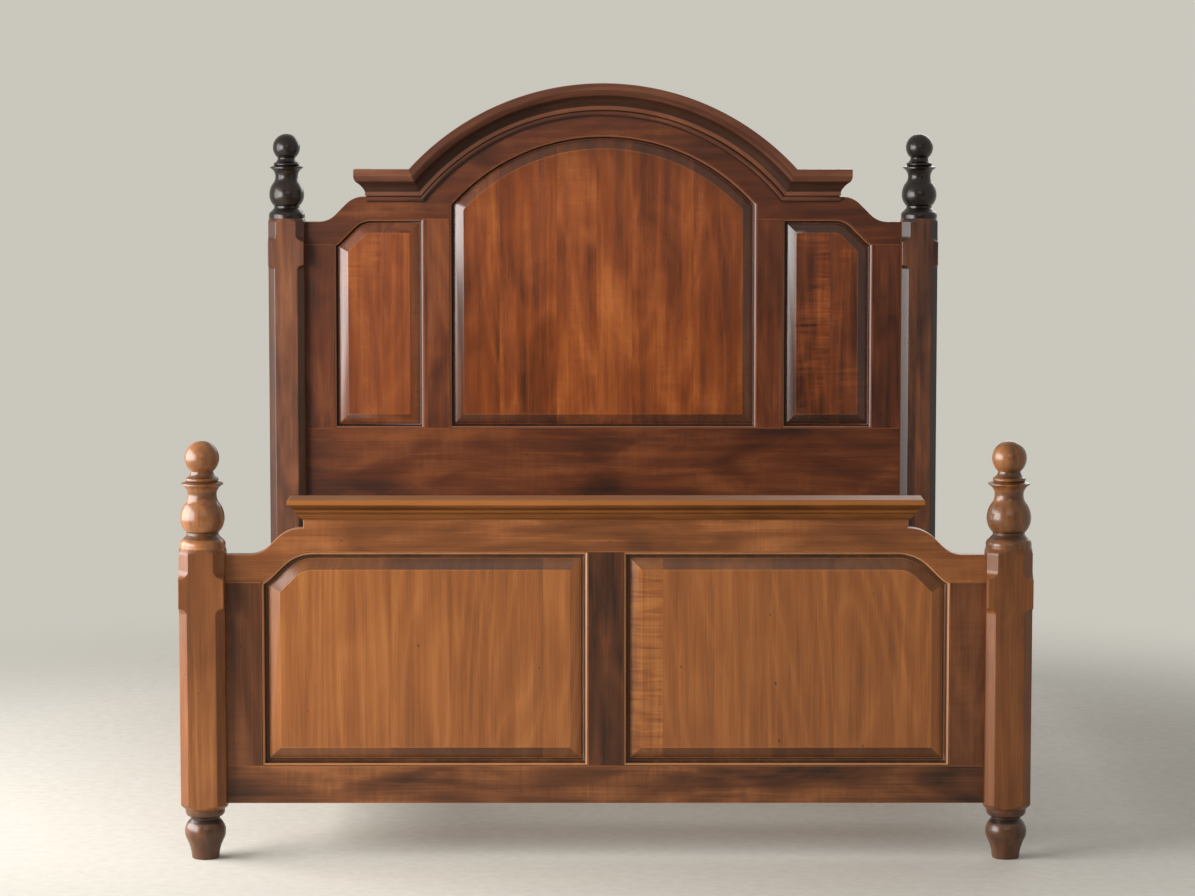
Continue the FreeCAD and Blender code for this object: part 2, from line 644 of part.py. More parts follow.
def finial_profile():
    s = size
    neck_top = (s.finial_low_neck_radius, s.finial_low_neck_top)
    vase_low = vertical_arc(s.finial_vase_radius - s.finial_low_neck_radius,
                            s.finial_vase_height - s.finial_low_neck_top)
    vase_high = vertical_arc(s.finial_vase_radius - s.finial_waist_radius,
                             s.finial_waist_height - s.finial_vase_height)
    waist = vertical_arc(s.finial_waist_radius - s.finial_neck_radius,
                         s.finial_neck_height - s.finial_waist_height)
    flare = vertical_arc(s.finial_collar_radius - s.finial_neck_radius,
                         s.finial_collar_height - s.finial_neck_height)
    collar_top = s.finial_collar_height + s.finial_collar_edge
    throat = s.finial_ball_height - root(s.finial_ball_radius * s.finial_ball_radius
                                         - s.finial_throat_radius * s.finial_throat_radius)
    bead_top = s.finial_bead_height + s.finial_bead_width
    return [
        (ZERO, ZERO), (s.finial_ring_radius, ZERO), (s.finial_ring_radius, s.finial_ring_height),
        (s.finial_ovolo_radius, s.finial_ovolo_height, s.finial_ovolo_round, 1),
        (s.finial_low_neck_radius, s.finial_low_neck_height), neck_top,
        (s.finial_vase_radius, s.finial_vase_height, vase_low, 1),
        (s.finial_waist_radius, s.finial_waist_height, vase_high, 1),
        (s.finial_neck_radius, s.finial_neck_height, waist, -1),
        (s.finial_collar_radius, s.finial_collar_height, flare, -1),
        (s.finial_collar_radius, collar_top),
        (s.finial_bead_radius, s.finial_bead_height),
        (s.finial_bead_radius, bead_top, s.finial_bead_round, 1),
        (s.finial_throat_radius, throat, s.finial_throat_hollow, -1),
        (ZERO, s.finial_ball_height + s.finial_ball_radius, s.finial_ball_radius, 1),
    ]


def vertical_arc(sideways, upward):
    """Radius of an arc that starts upright and then moves sideways by one length over the other."""
    return (sideways * sideways + upward * upward) / (sideways * 2)


def foot_profile():
    s = size
    calf = s.foot_height - s.foot_calf_drop
    bulb = s.foot_height - s.foot_bulb_drop
    bulb_top = s.foot_height - s.foot_bulb_top_drop
    neck = s.foot_height - s.foot_neck_drop
    neck_top = neck + s.foot_neck_width
    cap = s.foot_height - s.foot_cap_edge
    bulb_low = vertical_arc(s.foot_bulb_radius - s.foot_calf_radius, bulb - calf)
    bulb_high = vertical_arc(s.foot_bulb_radius - s.foot_bulb_top_radius, bulb_top - bulb)
    return [
        (ZERO, ZERO), (s.foot_toe_radius, ZERO),
        (s.foot_ankle_radius, s.foot_toe_edge, s.foot_toe_edge, 1),
        (s.foot_calf_radius, calf, s.foot_ankle_hollow, -1),
        (s.foot_bulb_radius, bulb, bulb_low, 1),
        (s.foot_bulb_top_radius, bulb_top, bulb_high, 1),
        (s.foot_neck_radius, neck),
        (s.foot_neck_radius, neck_top),
        (s.foot_cap_radius, cap, cap - neck_top, 1),
        (s.foot_cap_radius, s.foot_height), (ZERO, s.foot_height),
    ]


def make_finial(label, side, y, top):
    body = new_body(label, x=post_x * side, y=y, z=top)
    turn(body, draw(new_sketch(body, "XZ"), finial_profile()))
    bore = draw_circles(new_sketch(body, "XY"), [(ZERO, ZERO)], dowel_bore)
    pocket(body, bore, size.dowel_reach, forward=True)
    return body


def make_foot(label, side, y):
    body = new_body(label, x=post_x * side, y=y)
    turn(body, draw(new_sketch(body, "XZ"), foot_profile()))
    bore = draw_circles(new_sketch(body, "XY", size.foot_height), [(ZERO, ZERO)], dowel_bore)
    pocket(body, bore, size.dowel_reach)
    return body


def make_dowels(label, heights):
    """Dowels across a joint at the given height of the foot posts and of the head posts."""
    body = new_body(label)
    for y, height in zip((footboard_y, headboard_y), heights):
        sketch = draw_circles(new_sketch(body, "XY", height), [(-post_x, y), (post_x, y)], size.dowel_radius)
        pad(body, sketch, size.dowel_reach * 2, both_ways=True)
    return body


# ---------------------------------------------------------------------------------------------
# Boards. In each of these bodies y is 0 on the front face of the board and grows to the back.
# ---------------------------------------------------------------------------------------------

def make_board(label, front, outline):
    body = new_body(label, y=front)
    pad(body, draw(new_sketch(body, "XZ"), outline), size.board_thickness, backward=True)
    return body


def cut_groove(body, *outlines):
    pocket(body, draw(new_sketch(body, "XZ", -size.groove_setback), *outlines), groove_width)


def add_stubs(body, *outlines):
    pad(body, draw(new_sketch(body, "XZ", -tongue_setback), *outlines), size.tongue_thickness, backward=True)


def add_tenons(body, low, high):
    """The tenons at both ends of a rail."""
    setback = (size.board_thickness - size.tenon_thickness) / 2
    tenon = rectangle(inner_x, low, inner_x + size.tenon_length, high)
    tenons = draw(new_sketch(body, "XZ", -setback), tenon, mirrored(tenon))
    pad(body, tenons, size.tenon_thickness, backward=True)


def make_bottom_rail(label, front, bottom, top, tenon):
    body = make_board(label, front, rectangle(-inner_x, bottom, inner_x, top))
    add_tenons(body, *tenon)
    cut_groove(body, rectangle(-inner_x - OVERCUT, top - size.groove_depth, inner_x + OVERCUT, top + OVERCUT))
    return body


def make_stile(label, front, side, inner, bottom, top):
    """An outer stile, with a groove for the panel and a stub tenon at each end."""
    body = make_board(label, front, on_side(rectangle(inner, bottom, inner_x, top), side))
    shoulder = inner + size.groove_depth
    cut_groove(body, on_side(rectangle(inner - OVERCUT, bottom - OVERCUT, shoulder, top + OVERCUT), side))
    add_stubs(body, on_side(rectangle(shoulder, bottom - stub_length, inner_x, bottom + OVERCUT), side),
              on_side(rectangle(shoulder, top - OVERCUT, inner_x, top + stub_length), side))
    return body


def make_mullion(label, front, low_x, high_x, bottom, top):
    """A stile between two panels: grooves on both edges and a stub tenon at each end."""
    body = make_board(label, front, rectangle(low_x, bottom, high_x, top))
    low_shoulder = low_x + size.groove_depth
    high_shoulder = high_x - size.groove_depth
    cut_groove(body, rectangle(low_x - OVERCUT, bottom - OVERCUT, low_shoulder, top + OVERCUT),
               rectangle(high_shoulder, bottom - OVERCUT, high_x + OVERCUT, top + OVERCUT))
    add_stubs(body, rectangle(low_shoulder, bottom - stub_length, high_shoulder, bottom + OVERCUT),
              rectangle(low_shoulder, top - OVERCUT, high_shoulder, top + stub_length))
    return body


def make_footboard_top_rail(label):
    opening = footboard_opening
    shoulder = scoop(inner_x - size.footboard_shoulder_width, footboard_shoulder, footboard_crest,
                     0, size.footboard_crest_scoop, size.footboard_crest_round)
    upper = [(inner_x, opening.corner), (inner_x, footboard_shoulder), *shoulder,
             (footboard_seat_half, footboard_crest), (footboard_seat_half, footboard_seat)]
    lower = [(opening.outer, opening.corner), *opening_scoop(opening, ZERO)[1:]]
    whole = completed(upper) + backwards(completed(lower))
    body = make_board(label, footboard_front, whole)
    add_tenons(body, *footboard_tenons[1])
    depth = size.groove_depth
    groove = [(inner_x + OVERCUT, opening.corner - OVERCUT), (inner_x + OVERCUT, opening.corner + depth),
              (opening.outer + depth, opening.corner + depth), *opening_scoop(opening, -depth)]
    cut_groove(body, completed(groove))
    return body


def backwards(loop):
    """An open path run the other way, for the inner edge of an outline."""
    path = [loop[-1][:2]]
    for point, edge in zip(reversed(loop[:-1]), reversed(loop[1:])):
        path.append(tuple(point[:2]) + turned_over(edge[2:]))
    return path


def make_headboard_top_rail(label):
    opening = side_opening
    shoulder = scoop(inner_x - size.headboard_shoulder_width, headboard_shoulder, headboard_crest,
                     0, size.headboard_crest_scoop, size.headboard_crest_round)
    ear = crown_ear_top - size.crown_reveal
    radius = crown_radius - size.crown_reveal
    rise = ear - crown_centre
    upper = [(inner_x, opening.corner), (inner_x, headboard_shoulder), *shoulder,
             (crown_seat_half, headboard_crest), (crown_seat_half, ear),
             (root(radius * radius - rise * rise), ear)]
    upper = completed(upper)
    middle = len(upper) // 2
    upper[middle] = (*upper[middle], radius, 1)
    spring = arch_spring(centre_opening.half, centre_opening.radius, centre_opening.centre)
    lower = completed([(opening.outer, opening.corner), *opening_scoop(opening, ZERO)[1:],
                       (centre_opening.half, opening.top), (centre_opening.half, spring)])
    middle = len(lower) // 2
    lower[middle] = (*lower[middle], centre_opening.radius, 1)
    body = make_board(label, headboard_front, upper + backwards(lower))
    add_tenons(body, *headboard_tenons[1])
    depth = size.groove_depth
    half = centre_opening.half + depth
    arch = centre_opening.radius + depth
    spring = arch_spring(half, arch, centre_opening.centre)
    groove = completed([
        (inner_x + OVERCUT, opening.corner - OVERCUT), (inner_x + OVERCUT, opening.corner + depth),
        (opening.outer + depth, opening.corner + depth), *opening_scoop(opening, -depth),
        (half, opening.top + depth), (half, spring)])
    middle = len(groove) // 2
    groove[middle] = (*groove[middle], arch, 1)
    cut_groove(body, groove)
    return body


def make_panel(label, front, side, outline, sticking, bevel):
    """A raised panel: a thin edge for the groove, a bevel and a raised field."""
    body = new_body(label, y=front)
    edge = draw(new_sketch(body, "XZ", -tongue_setback), on_side(outline(-panel_edge), side))
    pad(body, edge, size.tongue_thickness, backward=True)
    low = draw(new_sketch(body, "XZ", -tongue_setback), on_side(outline(sticking), side))
    high = draw(new_sketch(body, "XZ", -size.field_setback), on_side(outline(sticking + bevel), side))
    loft(body, "PartDesign::AdditiveLoft", low, high)
    return body


def make_sticking(label, front, side, outline, sticking):
    """The moulding that lies in the opening, on the panel's edge, with its face sloping in to the bevel."""
    body = new_body(label, y=front)
    back = draw(new_sketch(body, "XZ", -tongue_setback), on_side(outline(ZERO), side))
    pad(body, back, tongue_setback - size.sticking_reveal)
    wide = draw(new_sketch(body, "XZ", -size.sticking_reveal), on_side(outline(size.sticking_lip), side))
    narrow = draw(new_sketch(body, "XZ", -tongue_setback), on_side(outline(sticking), side))
    loft(body, "PartDesign::SubtractiveLoft", narrow, wide)
    return body


# ---------------------------------------------------------------------------------------------
# Crown and bead of the headboard. In their profiles x is the projection in front of the top rail.
# ---------------------------------------------------------------------------------------------

def crown_profile(bottom):
    """Section of the crown from its bottom edge up: a hollow, a round and a flat upper part."""
    s = size
    front = s.crown_projection
    round_top = bottom + s.crown_height - s.crown_lip
    round_x = front - s.crown_round * (1 - cosine(CROWN_ANGLE))
    round_z = round_top - s.crown_round * sine(CROWN_ANGLE)
    return [(ZERO, bottom), (s.crown_foot, bottom), (round_x, round_z, s.crown_hollow, -1),
            (front, round_top, s.crown_round, 1), (front, bottom + s.crown_height),
            (ZERO, bottom + s.crown_height)]


def bead_profile(bottom):
    """Section of the bead moulding: a round below a flat."""
    s = size
    inner = s.bead_projection - s.bead_set_in
    round_top = bottom + s.bead_round_height
    return [(ZERO, bottom), (inner, bottom), (inner, round_top, s.bead_round, 1),
            (s.bead_projection, round_top), (s.bead_projection, bottom + s.bead_height),
            (ZERO, bottom + s.bead_height)]


def forward(profile):
    """A section drawn on the YZ plane, where the front of the bed is at -y."""
    return mirrored(profile)


def mitre(radius, height, top, depth):
    """The two ends of the joint between the arch and its level end, top and bottom."""
    points = []
    for arc, level in ((radius, top), (radius - depth, top - depth)):
        rise = level - height
        points.append((root(arc * arc - rise * rise), level))
    return points


def mitre_cut(ends, reach, outward):
    """An outline that removes everything on one side of the joint line."""
    (top_x, top_z), (low_x, low_z) = ends
    lean = (top_x - low_x) / (top_z - low_z)
    over_x, over_z = top_x + lean * reach, top_z + reach
    under_x, under_z = low_x - lean * reach, low_z - reach
    far = inner_x if outward else ZERO
    return [(over_x, over_z), (under_x, under_z), (far, under_z), (far, over_z)]


def make_arch_moulding(label, profile, radius, depth, top):
    """The arched length of a moulding, turned about the centre of the arch and mitred to its ends."""
    body = new_body(label, y=headboard_front, z=crown_centre)
    section = draw(new_sketch(body, "YZ"), forward(profile(radius - depth)))
    turn(body, section, axis="H_Axis", angle=ARCH_BLANK_ANGLE, both_ways=True)
    rise = top - crown_centre
    joint = mitre_cut(mitre(radius, ZERO, rise, depth), rise / 2, outward=True)
    pocket(body, draw(new_sketch(body, "XZ"), joint, mirrored(joint)), crown_cut, both_ways=True)
    return body


def end_trim(profile, bottom):
    """The moulded end of a level length seen from the front, from its bottom edge to its top edge."""
    step = crown_seat_half - size.crown_end_step
    return [(step + corner[0], *corner[1:]) for corner in profile(bottom)[1:-1]]


def make_ear(label, side, profile, radius, depth, top, return_bottom):
    """A level end of a moulding: mitred to the arch inside, returned along the end of the rail outside."""
    body = new_body(label, y=headboard_front)
    trim = end_trim(profile, top - depth)
    tip = trim[-1][0]
    pad(body, draw(new_sketch(body, "YZ"), forward(profile(top - depth))), tip, backward=side < 0)
    joint = mitre_cut(mitre(radius, crown_centre, top, depth), depth / 2, outward=False)
    beyond = [(tip + OVERCUT, top - depth), *trim, (tip + OVERCUT, top)]
    for waste in (joint, beyond):
        pocket(body, draw(new_sketch(body, "XZ"), on_side(waste, side)), crown_cut, both_ways=True)
    if return_bottom is None:
        returned = [(crown_seat_half, top - depth), *trim, (crown_seat_half, top)]
    else:
        returned = rectangle(crown_seat_half, return_bottom, tip, top)
    pad(body, draw(new_sketch(body, "XZ"), on_side(returned, side)), size.board_thickness, backward=True)
    return body


# ---------------------------------------------------------------------------------------------
# Cap of the footboard
# ---------------------------------------------------------------------------------------------

def cap_slab(body, bottom, height, overhang, draw_in=ZERO):
    """A slab past the end and the faces of the top rail by the overhang, narrower below by draw_in."""
    outlines = []
    for level, reach in ((bottom, overhang - draw_in), (bottom + height, overhang)):
        half = footboard_seat_half + reach
        corners = rectangle(-half, -reach, half, size.board_thickness + reach)
        outlines.append(draw(new_sketch(body, "XY", level), corners))
    return loft(body, "PartDesign::AdditiveLoft", *outlines)


def make_cap_bead(label):
    body = new_body(label, y=footboard_front)
    step = size.cap_bead_step
    cap_slab(body, footboard_seat, step, size.cap_step_overhang, size.cap_step_draw)
    cap_slab(body, footboard_seat + step, size.cap_bead_height - step, size.cap_bead_overhang, size.cap_bead_draw)
    return body


def make_cap(label):
    body = new_body(label, y=footboard_front)
    bottom = footboard_seat + size.cap_bead_height
    under_nose = size.cap_height - size.cap_nose
    nose_bottom = bottom + under_nose
    cap_slab(body, bottom, under_nose, size.cap_overhang - size.cap_undercut, size.cap_slope)
    slab = cap_slab(body, nose_bottom, size.cap_nose, size.cap_overhang)
    doc.recompute()
    rounding = body.newObject("PartDesign::Fillet", "Nose")
    rounding.Base = (slab, outer_edges(slab, nose_bottom) + outer_edges(slab, nose_bottom + size.cap_nose))
    bind(rounding, "Radius", size.cap_nose_round)
    return body


def outer_edges(feature, height):
    """Names of the outermost edges at one height of a feature that is symmetric about x = 0."""
    edge_x = feature.Shape.BoundBox.XMax
    return [f"Edge{index}" for index, edge in enumerate(feature.Shape.Edges, start=1)
            if all(abs(vertex.Z - height.value) < TOUCHING and abs(abs(vertex.X) - edge_x) < TOUCHING
                   for vertex in edge.Vertexes)]


# ---------------------------------------------------------------------------------------------
# Side rails, cleats, slats and centre legs
# ---------------------------------------------------------------------------------------------

cleat_screw_rows = [size.cleat_screw_spacing * (index - (CLEAT_SCREW_COUNT - 1) / 2)
                    for index in range(CLEAT_SCREW_COUNT)]
slat_rows = [size.slat_spacing * (index - (SLAT_COUNT - 1) / 2) for index in range(SLAT_COUNT)]
leg_rows = [size.slat_spacing * row for row in LEG_ROWS]
cleat_screw_height = cleat_bottom + size.cleat_screw_lift
slat_screw_x = side_rail_inner - size.cleat_width / 2
hook_heights = [side_rail_middle - size.hook_spacing / 2, side_rail_middle + size.hook_spacing / 2]


def plate_outline(x, growth):
    half_width = size.hook_plate_width / 2 + growth
    half_height = size.hook_plate_height / 2 + growth
    low, high = side_rail_middle - half_height, side_rail_middle + half_height
    return rectangle(x - half_width, low, x + half_width, high)


def blade_slots(x, growth):
    """The slots in which the hooks sit, longer below so that the hooks drop home."""
    half = size.hook_blade_thickness / 2 + growth
    return [rectangle(x - half, height - size.hook_blade_height / 2 - size.hook_drop, x + half,
                      height + size.hook_blade_height / 2 + growth) for height in hook_heights]


def cut_hook_recess(body, x, face, forward):
    """In a post: a shallow recess for the receiver plate and deep slots for the hooks."""
    play = size.plate_clearance
    recess = draw(new_sketch(body, "XZ", face), plate_outline(x, play))
    pocket(body, recess, size.hook_plate_thickness + play, forward)
    pocket(body, draw(new_sketch(body, "XZ", face), *blade_slots(x, size.hook_slot_play)),
           size.hook_blade_reach + size.hook_slot_play + play, forward)


def make_side_rail(label, side):
    body = new_body(label, x=side_rail_x * side)
    half = size.side_rail_thickness / 2
    outline = rectangle(-half, size.side_rail_bottom, half, size.side_rail_bottom + size.side_rail_height)
    pad(body, draw(new_sketch(body, "XZ"), outline), size.rail_length, both_ways=True)
    depth = size.hook_plate_thickness + size.plate_clearance
    for end in (1, -1):
        recess = draw(new_sketch(body, "XZ", rail_end * end), plate_outline(ZERO, size.plate_clearance))
        pocket(body, recess, depth, forward=end < 0)
    holes = [(y, cleat_screw_height) for y in cleat_screw_rows]
    sketch = draw_circles(new_sketch(body, "YZ", half * -side), holes, screw_bore)
    pocket(body, sketch, size.cleat_screw_length - size.cleat_width + size.fixing_clearance, forward=side > 0)
    return body


def make_cleat(label, side):
    body = new_body(label, x=(side_rail_inner - size.cleat_width / 2) * side)
    half = size.cleat_width / 2
    pad(body, draw(new_sketch(body, "XZ"), rectangle(-half, cleat_bottom, half, cleat_top)),
        size.rail_length - size.cleat_inset * 2, both_ways=True)
    holes = [(y, cleat_screw_height) for y in cleat_screw_rows]
    inner_face = half * -side
    pocket(body, draw_circles(new_sketch(body, "YZ", inner_face), holes, screw_bore), size.cleat_width,
           forward=side > 0)
    pocket(body, draw_circles(new_sketch(body, "YZ", inner_face), holes, screw_sink), size.screw_head,
           forward=side > 0)
    holes = [(ZERO, y) for y in slat_rows]
    pocket(body, draw_circles(new_sketch(body, "XY", cleat_top), holes, screw_bore),
           size.slat_screw_length - size.slat_thickness + size.fixing_clearance)
    return body


def make_slats(label):
    body = new_body(label)
    half = side_rail_inner - size.slat_end_gap
    wide = size.slat_width / 2
    outlines = [rectangle(-half, y - wide, half, y + wide) for y in slat_rows]
    pad(body, draw(new_sketch(body, "XY", cleat_top), *outlines), size.slat_thickness)
    places = slat_screw_places()
    pocket(body, draw_circles(new_sketch(body, "XY", slat_top), places, screw_bore), size.slat_thickness)
    pocket(body, draw_circles(new_sketch(body, "XY", slat_top), places, screw_sink), size.screw_head)
    return body


def slat_screw_places():
    """Two screws through each slat into the cleats, and one into each centre leg."""
    ends = [(slat_screw_x * side, y) for y in slat_rows for side in SIDES.values()]
    return ends + [(ZERO, y) for y in leg_rows]


def make_slat_screws(label):
    body = new_body(label)
    for radius, length in ((size.screw_radius, size.slat_screw_length), (size.screw_head_radius, size.screw_head)):
        section = draw_circles(new_sketch(body, "XY", slat_top), slat_screw_places(), radius)
        pad(body, section, length, backward=True)
    return body


def make_cleat_screws(label):
    body = new_body(label)
    places = [(y, cleat_screw_height) for y in cleat_screw_rows]
    for side in SIDES.values():
        face = (side_rail_inner - size.cleat_width) * side
        for radius, length in ((size.screw_radius, size.cleat_screw_length),
                               (size.screw_head_radius, size.screw_head)):
            pad(body, draw_circles(new_sketch(body, "YZ", face), places, radius), length, backward=side < 0)
    return body


def make_leg(label, y):
    body = new_body(label, y=y)
    half = size.leg_width / 2
    foot = size.glide_height
    pad(body, draw(new_sketch(body, "XY", foot), rectangle(-half, -half, half, half)), cleat_top - foot)
    centre = [(ZERO, ZERO)]
    for radius, depth in ((size.insert_flange_radius, size.insert_flange),
                          (size.insert_radius, size.insert_flange + size.insert_length),
                          (size.stem_radius + size.stem_clearance * 2, size.stem_bore_depth)):
        bore = draw_circles(new_sketch(body, "XY", foot), centre, radius + size.fixing_clearance)
        pocket(body, bore, depth, forward=True)
    pocket(body, draw_circles(new_sketch(body, "XY", cleat_top), centre, screw_bore),
           size.slat_screw_length - size.slat_thickness + size.fixing_clearance)
    return body


def make_glide(label, y):
    """A levelling glide: a rounded foot with a stem that screws up into its leg."""
    body = new_body(label, y=y)
    edge = size.glide_edge
    radius = size.glide_radius
    stem_top = size.glide_height + size.stem_length
    turn(body, draw(new_sketch(body, "XZ"), [
        (ZERO, ZERO), (radius - edge, ZERO), (radius, edge, edge, 1), (radius, size.glide_height),
        (size.stem_radius, size.glide_height), (size.stem_radius, stem_top), (ZERO, stem_top)]))
    return body


def make_inserts(label):
    """The threaded inserts in the ends of the centre legs."""
    body = new_body(label)
    centres = [(ZERO, y) for y in leg_rows]
    foot = size.glide_height
    length = size.insert_flange + size.insert_length
    pad(body, draw_circles(new_sketch(body, "XY", foot), centres, size.insert_flange_radius), size.insert_flange)
    pad(body, draw_circles(new_sketch(body, "XY", foot), centres, size.insert_radius), length)
    bore = draw_circles(new_sketch(body, "XY", foot), centres, size.stem_radius + size.stem_clearance)
    pocket(body, bore, length, forward=True)
    return body


def hook_outline(reach):
    """Side view of a hook for one rail end: a blade with a notch in its lower edge."""
    half = size.hook_blade_height / 2
    notch = size.hook_plate_thickness + size.hook_slot_play
    return [[(ZERO, height + half), (ZERO, height - half + size.hook_notch),
             (notch, height - half + size.hook_notch), (notch, height - half), (reach, height - half),
             (reach, height + half)] for height in hook_heights]


def make_hook_plates(label):
    """A plate with two hooks on each end of both side rails."""
    body = new_body(label)
    for x in (-side_rail_x, side_rail_x):
        for end in (1, -1):
            face = rail_end * end
            pad(body, draw(new_sketch(body, "XZ", face), plate_outline(x, ZERO)), size.hook_plate_thickness,
                backward=end > 0)
    for x in (-side_rail_x, side_rail_x):
        low = x - size.hook_blade_thickness / 2
        loops = []
        for outline in hook_outline(size.hook_blade_reach):
            near = [(rail_end + corner[0], corner[1]) for corner in outline]
            loops += [near, mirrored(near)]
        pad(body, draw(new_sketch(body, "YZ", low), *loops), size.hook_blade_thickness)
    return body


def make_receivers(label):
    """A slotted plate let into each post, in which the hooks hang."""
    body = new_body(label)
    for x in (-side_rail_x, side_rail_x):
        for end in (1, -1):
            face = rail_end * end
            slots = blade_slots(x, size.hook_slot_play)
            outline = draw(new_sketch(body, "XZ", face), plate_outline(x, ZERO), *slots)
            pad(body, outline, size.hook_plate_thickness, backward=end < 0)
    return body


# ---------------------------------------------------------------------------------------------
# The bed
# ---------------------------------------------------------------------------------------------

def make_footboard():
    front = footboard_front
    opening = footboard_opening
    outline = partial(scooped_opening, opening)
    sticking, bevel = size.footboard_sticking, size.footboard_bevel
    parts = []
    for name, side in SIDES.items():
        parts += [
            make_post(f"footboard_post_{name}", side, footboard_y, footboard_post_top, 1, footboard_tenons),
            make_finial(f"footboard_finial_{name}", side, footboard_y, footboard_post_top),
            make_foot(f"footboard_foot_{name}", side, footboard_y),
            make_stile(f"footboard_stile_{name}", front, side, opening.outer, opening.bottom, opening.corner),
            make_panel(f"footboard_panel_{name}", front, side, outline, sticking, bevel),
            make_sticking(f"footboard_moulding_{name}", front, side, outline, sticking),
        ]
    half = size.footboard_mullion_width / 2
    parts += [
        make_mullion("footboard_mullion", front, -half, half, opening.bottom, opening.top),
        make_bottom_rail("footboard_bottom_rail", front, size.footboard_bottom, opening.bottom,
                         footboard_tenons[0]),
        make_footboard_top_rail("footboard_top_rail"),
        make_cap_bead("footboard_cap_bead"),
        make_cap("footboard_cap"),
    ]
    return parts


def make_headboard():
    front = headboard_front
    side_outline = partial(scooped_opening, side_opening)
    centre_outline = partial(arched_opening, centre_opening)
    sticking, bevel = size.headboard_sticking, size.headboard_bevel
    bead_top = crown_ear_top - size.crown_height
    bead_radius = crown_radius - size.crown_height
    parts = []
    for name, side in SIDES.items():
        edges = (centre_opening.half * side, side_opening.inner * side)
        low_x, high_x = edges if side > 0 else reversed(edges)
        parts += [
            make_post(f"headboard_post_{name}", side, headboard_y, headboard_post_top, -1, headboard_tenons),
            make_finial(f"headboard_finial_{name}", side, headboard_y, headboard_post_top),
            make_foot(f"headboard_foot_{name}", side, headboard_y),
            make_stile(f"headboard_stile_{name}", front, side, side_opening.outer, side_opening.bottom,
                       side_opening.corner),
            make_mullion(f"headboard_mullion_{name}", front, low_x, high_x, side_opening.bottom,
                         side_opening.top),
            make_panel(f"headboard_side_panel_{name}", front, side, side_outline, sticking, bevel),
            make_sticking(f"headboard_side_moulding_{name}", front, side, side_outline, sticking),
            make_ear(f"crown_ear_{name}", side, crown_profile, crown_radius, size.crown_height, crown_ear_top,
                     None),
            make_ear(f"bead_ear_{name}", side, bead_profile, bead_radius, size.bead_height, bead_top,
                     headboard_crest),
        ]
    parts += [
        make_panel("headboard_centre_panel", front, 1, centre_outline, sticking, bevel),
        make_sticking("headboard_centre_moulding", front, 1, centre_outline, sticking),
        make_bottom_rail("headboard_bottom_rail", front, size.headboard_bottom, side_opening.bottom,
                         headboard_tenons[0]),
        make_headboard_top_rail("headboard_top_rail"),
        make_arch_moulding("crown_arch", crown_profile, crown_radius, size.crown_height, crown_ear_top),
        make_arch_moulding("bead_arch", bead_profile, bead_radius, size.bead_height, bead_top),
    ]
    return parts


def make_bed_frame():
    parts = []
    for name, side in SIDES.items():
        parts += [make_side_rail(f"side_rail_{name}", side), make_cleat(f"slat_cleat_{name}", side)]
    for name, y in zip(("front", "middle", "rear"), leg_rows):
        parts += [make_leg(f"centre_leg_{name}", y), make_glide(f"levelling_glide_{name}", y)]
    parts += [
        make_slats("slats"),
        make_inserts("threaded_inserts"),
        make_hook_plates("rail_hook_plates"),
        make_receivers("hook_receivers"),
        make_cleat_screws("cleat_screws"),
        make_slat_screws("slat_screws"),
        make_dowels("finial_dowels", (footboard_post_top, headboard_post_top)),
        make_dowels("foot_dowels", (size.foot_height, size.foot_height)),
    ]
    return parts


def check_and_write(parts):
    doc.recompute()
    failed = [item.Label for item in doc.Objects if {"Invalid", "Error"} & set(item.State)]
    failed += [part.Label for part in parts if part.Shape.isNull() or not part.Shape.isValid()]
    if failed:
        raise RuntimeError(f"these did not build: {failed}")
    os.makedirs("parts", exist_ok=True)
    for part in parts:
        part.Shape.exportStep(f"parts/{part.Label}.step")
        print(f"{part.Label}: {len(part.Shape.Solids)} solid(s), {part.Shape.Volume / 1000:.1f} cm3")


check_and_write(make_footboard() + make_headboard() + make_bed_frame())
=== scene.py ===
# %% [markdown]
# # A panel bed in stained maple
# The bed is a queen size frame: a footboard and a headboard, each built of posts, rails, stiles and raised
# panels, with side rails and slats between them. Its construction model gives the place of every piece.
# This lesson gives each visible piece its worked surface: eased edges, turned profiles, mouldings that run
# round the panels, and stained wood. Lengths are in metres and MM turns a joiner's millimetres into metres.

# %% Load the construction model
import math

import bmesh
import bpy
from mathutils import Matrix, Vector


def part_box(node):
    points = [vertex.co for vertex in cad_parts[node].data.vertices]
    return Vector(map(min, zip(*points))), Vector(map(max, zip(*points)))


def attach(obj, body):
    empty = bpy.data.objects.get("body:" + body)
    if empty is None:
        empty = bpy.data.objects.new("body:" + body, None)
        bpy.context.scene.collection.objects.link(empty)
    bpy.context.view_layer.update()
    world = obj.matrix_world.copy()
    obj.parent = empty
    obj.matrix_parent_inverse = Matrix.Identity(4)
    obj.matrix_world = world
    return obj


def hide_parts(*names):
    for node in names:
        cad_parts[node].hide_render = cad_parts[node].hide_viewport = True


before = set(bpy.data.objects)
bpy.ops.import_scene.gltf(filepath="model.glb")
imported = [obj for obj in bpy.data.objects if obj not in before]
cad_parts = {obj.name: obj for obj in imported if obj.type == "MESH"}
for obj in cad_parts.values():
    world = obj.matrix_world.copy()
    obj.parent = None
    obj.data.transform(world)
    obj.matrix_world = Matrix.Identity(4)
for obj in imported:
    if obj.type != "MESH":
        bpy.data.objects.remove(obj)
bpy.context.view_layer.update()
scene = bpy.context.scene
scene.view_settings.view_transform = "Standard"
MM = 0.001

# %% [markdown]
# ## The camera
# The photograph was taken from far away with a long lens, a little above the headboard, looking slightly
# down. A long lens keeps the posts nearly parallel. The lens is worked out from the picture's width in
# pixels, so the bed lands on the same pixels as in the photograph and no lens shift is needed.

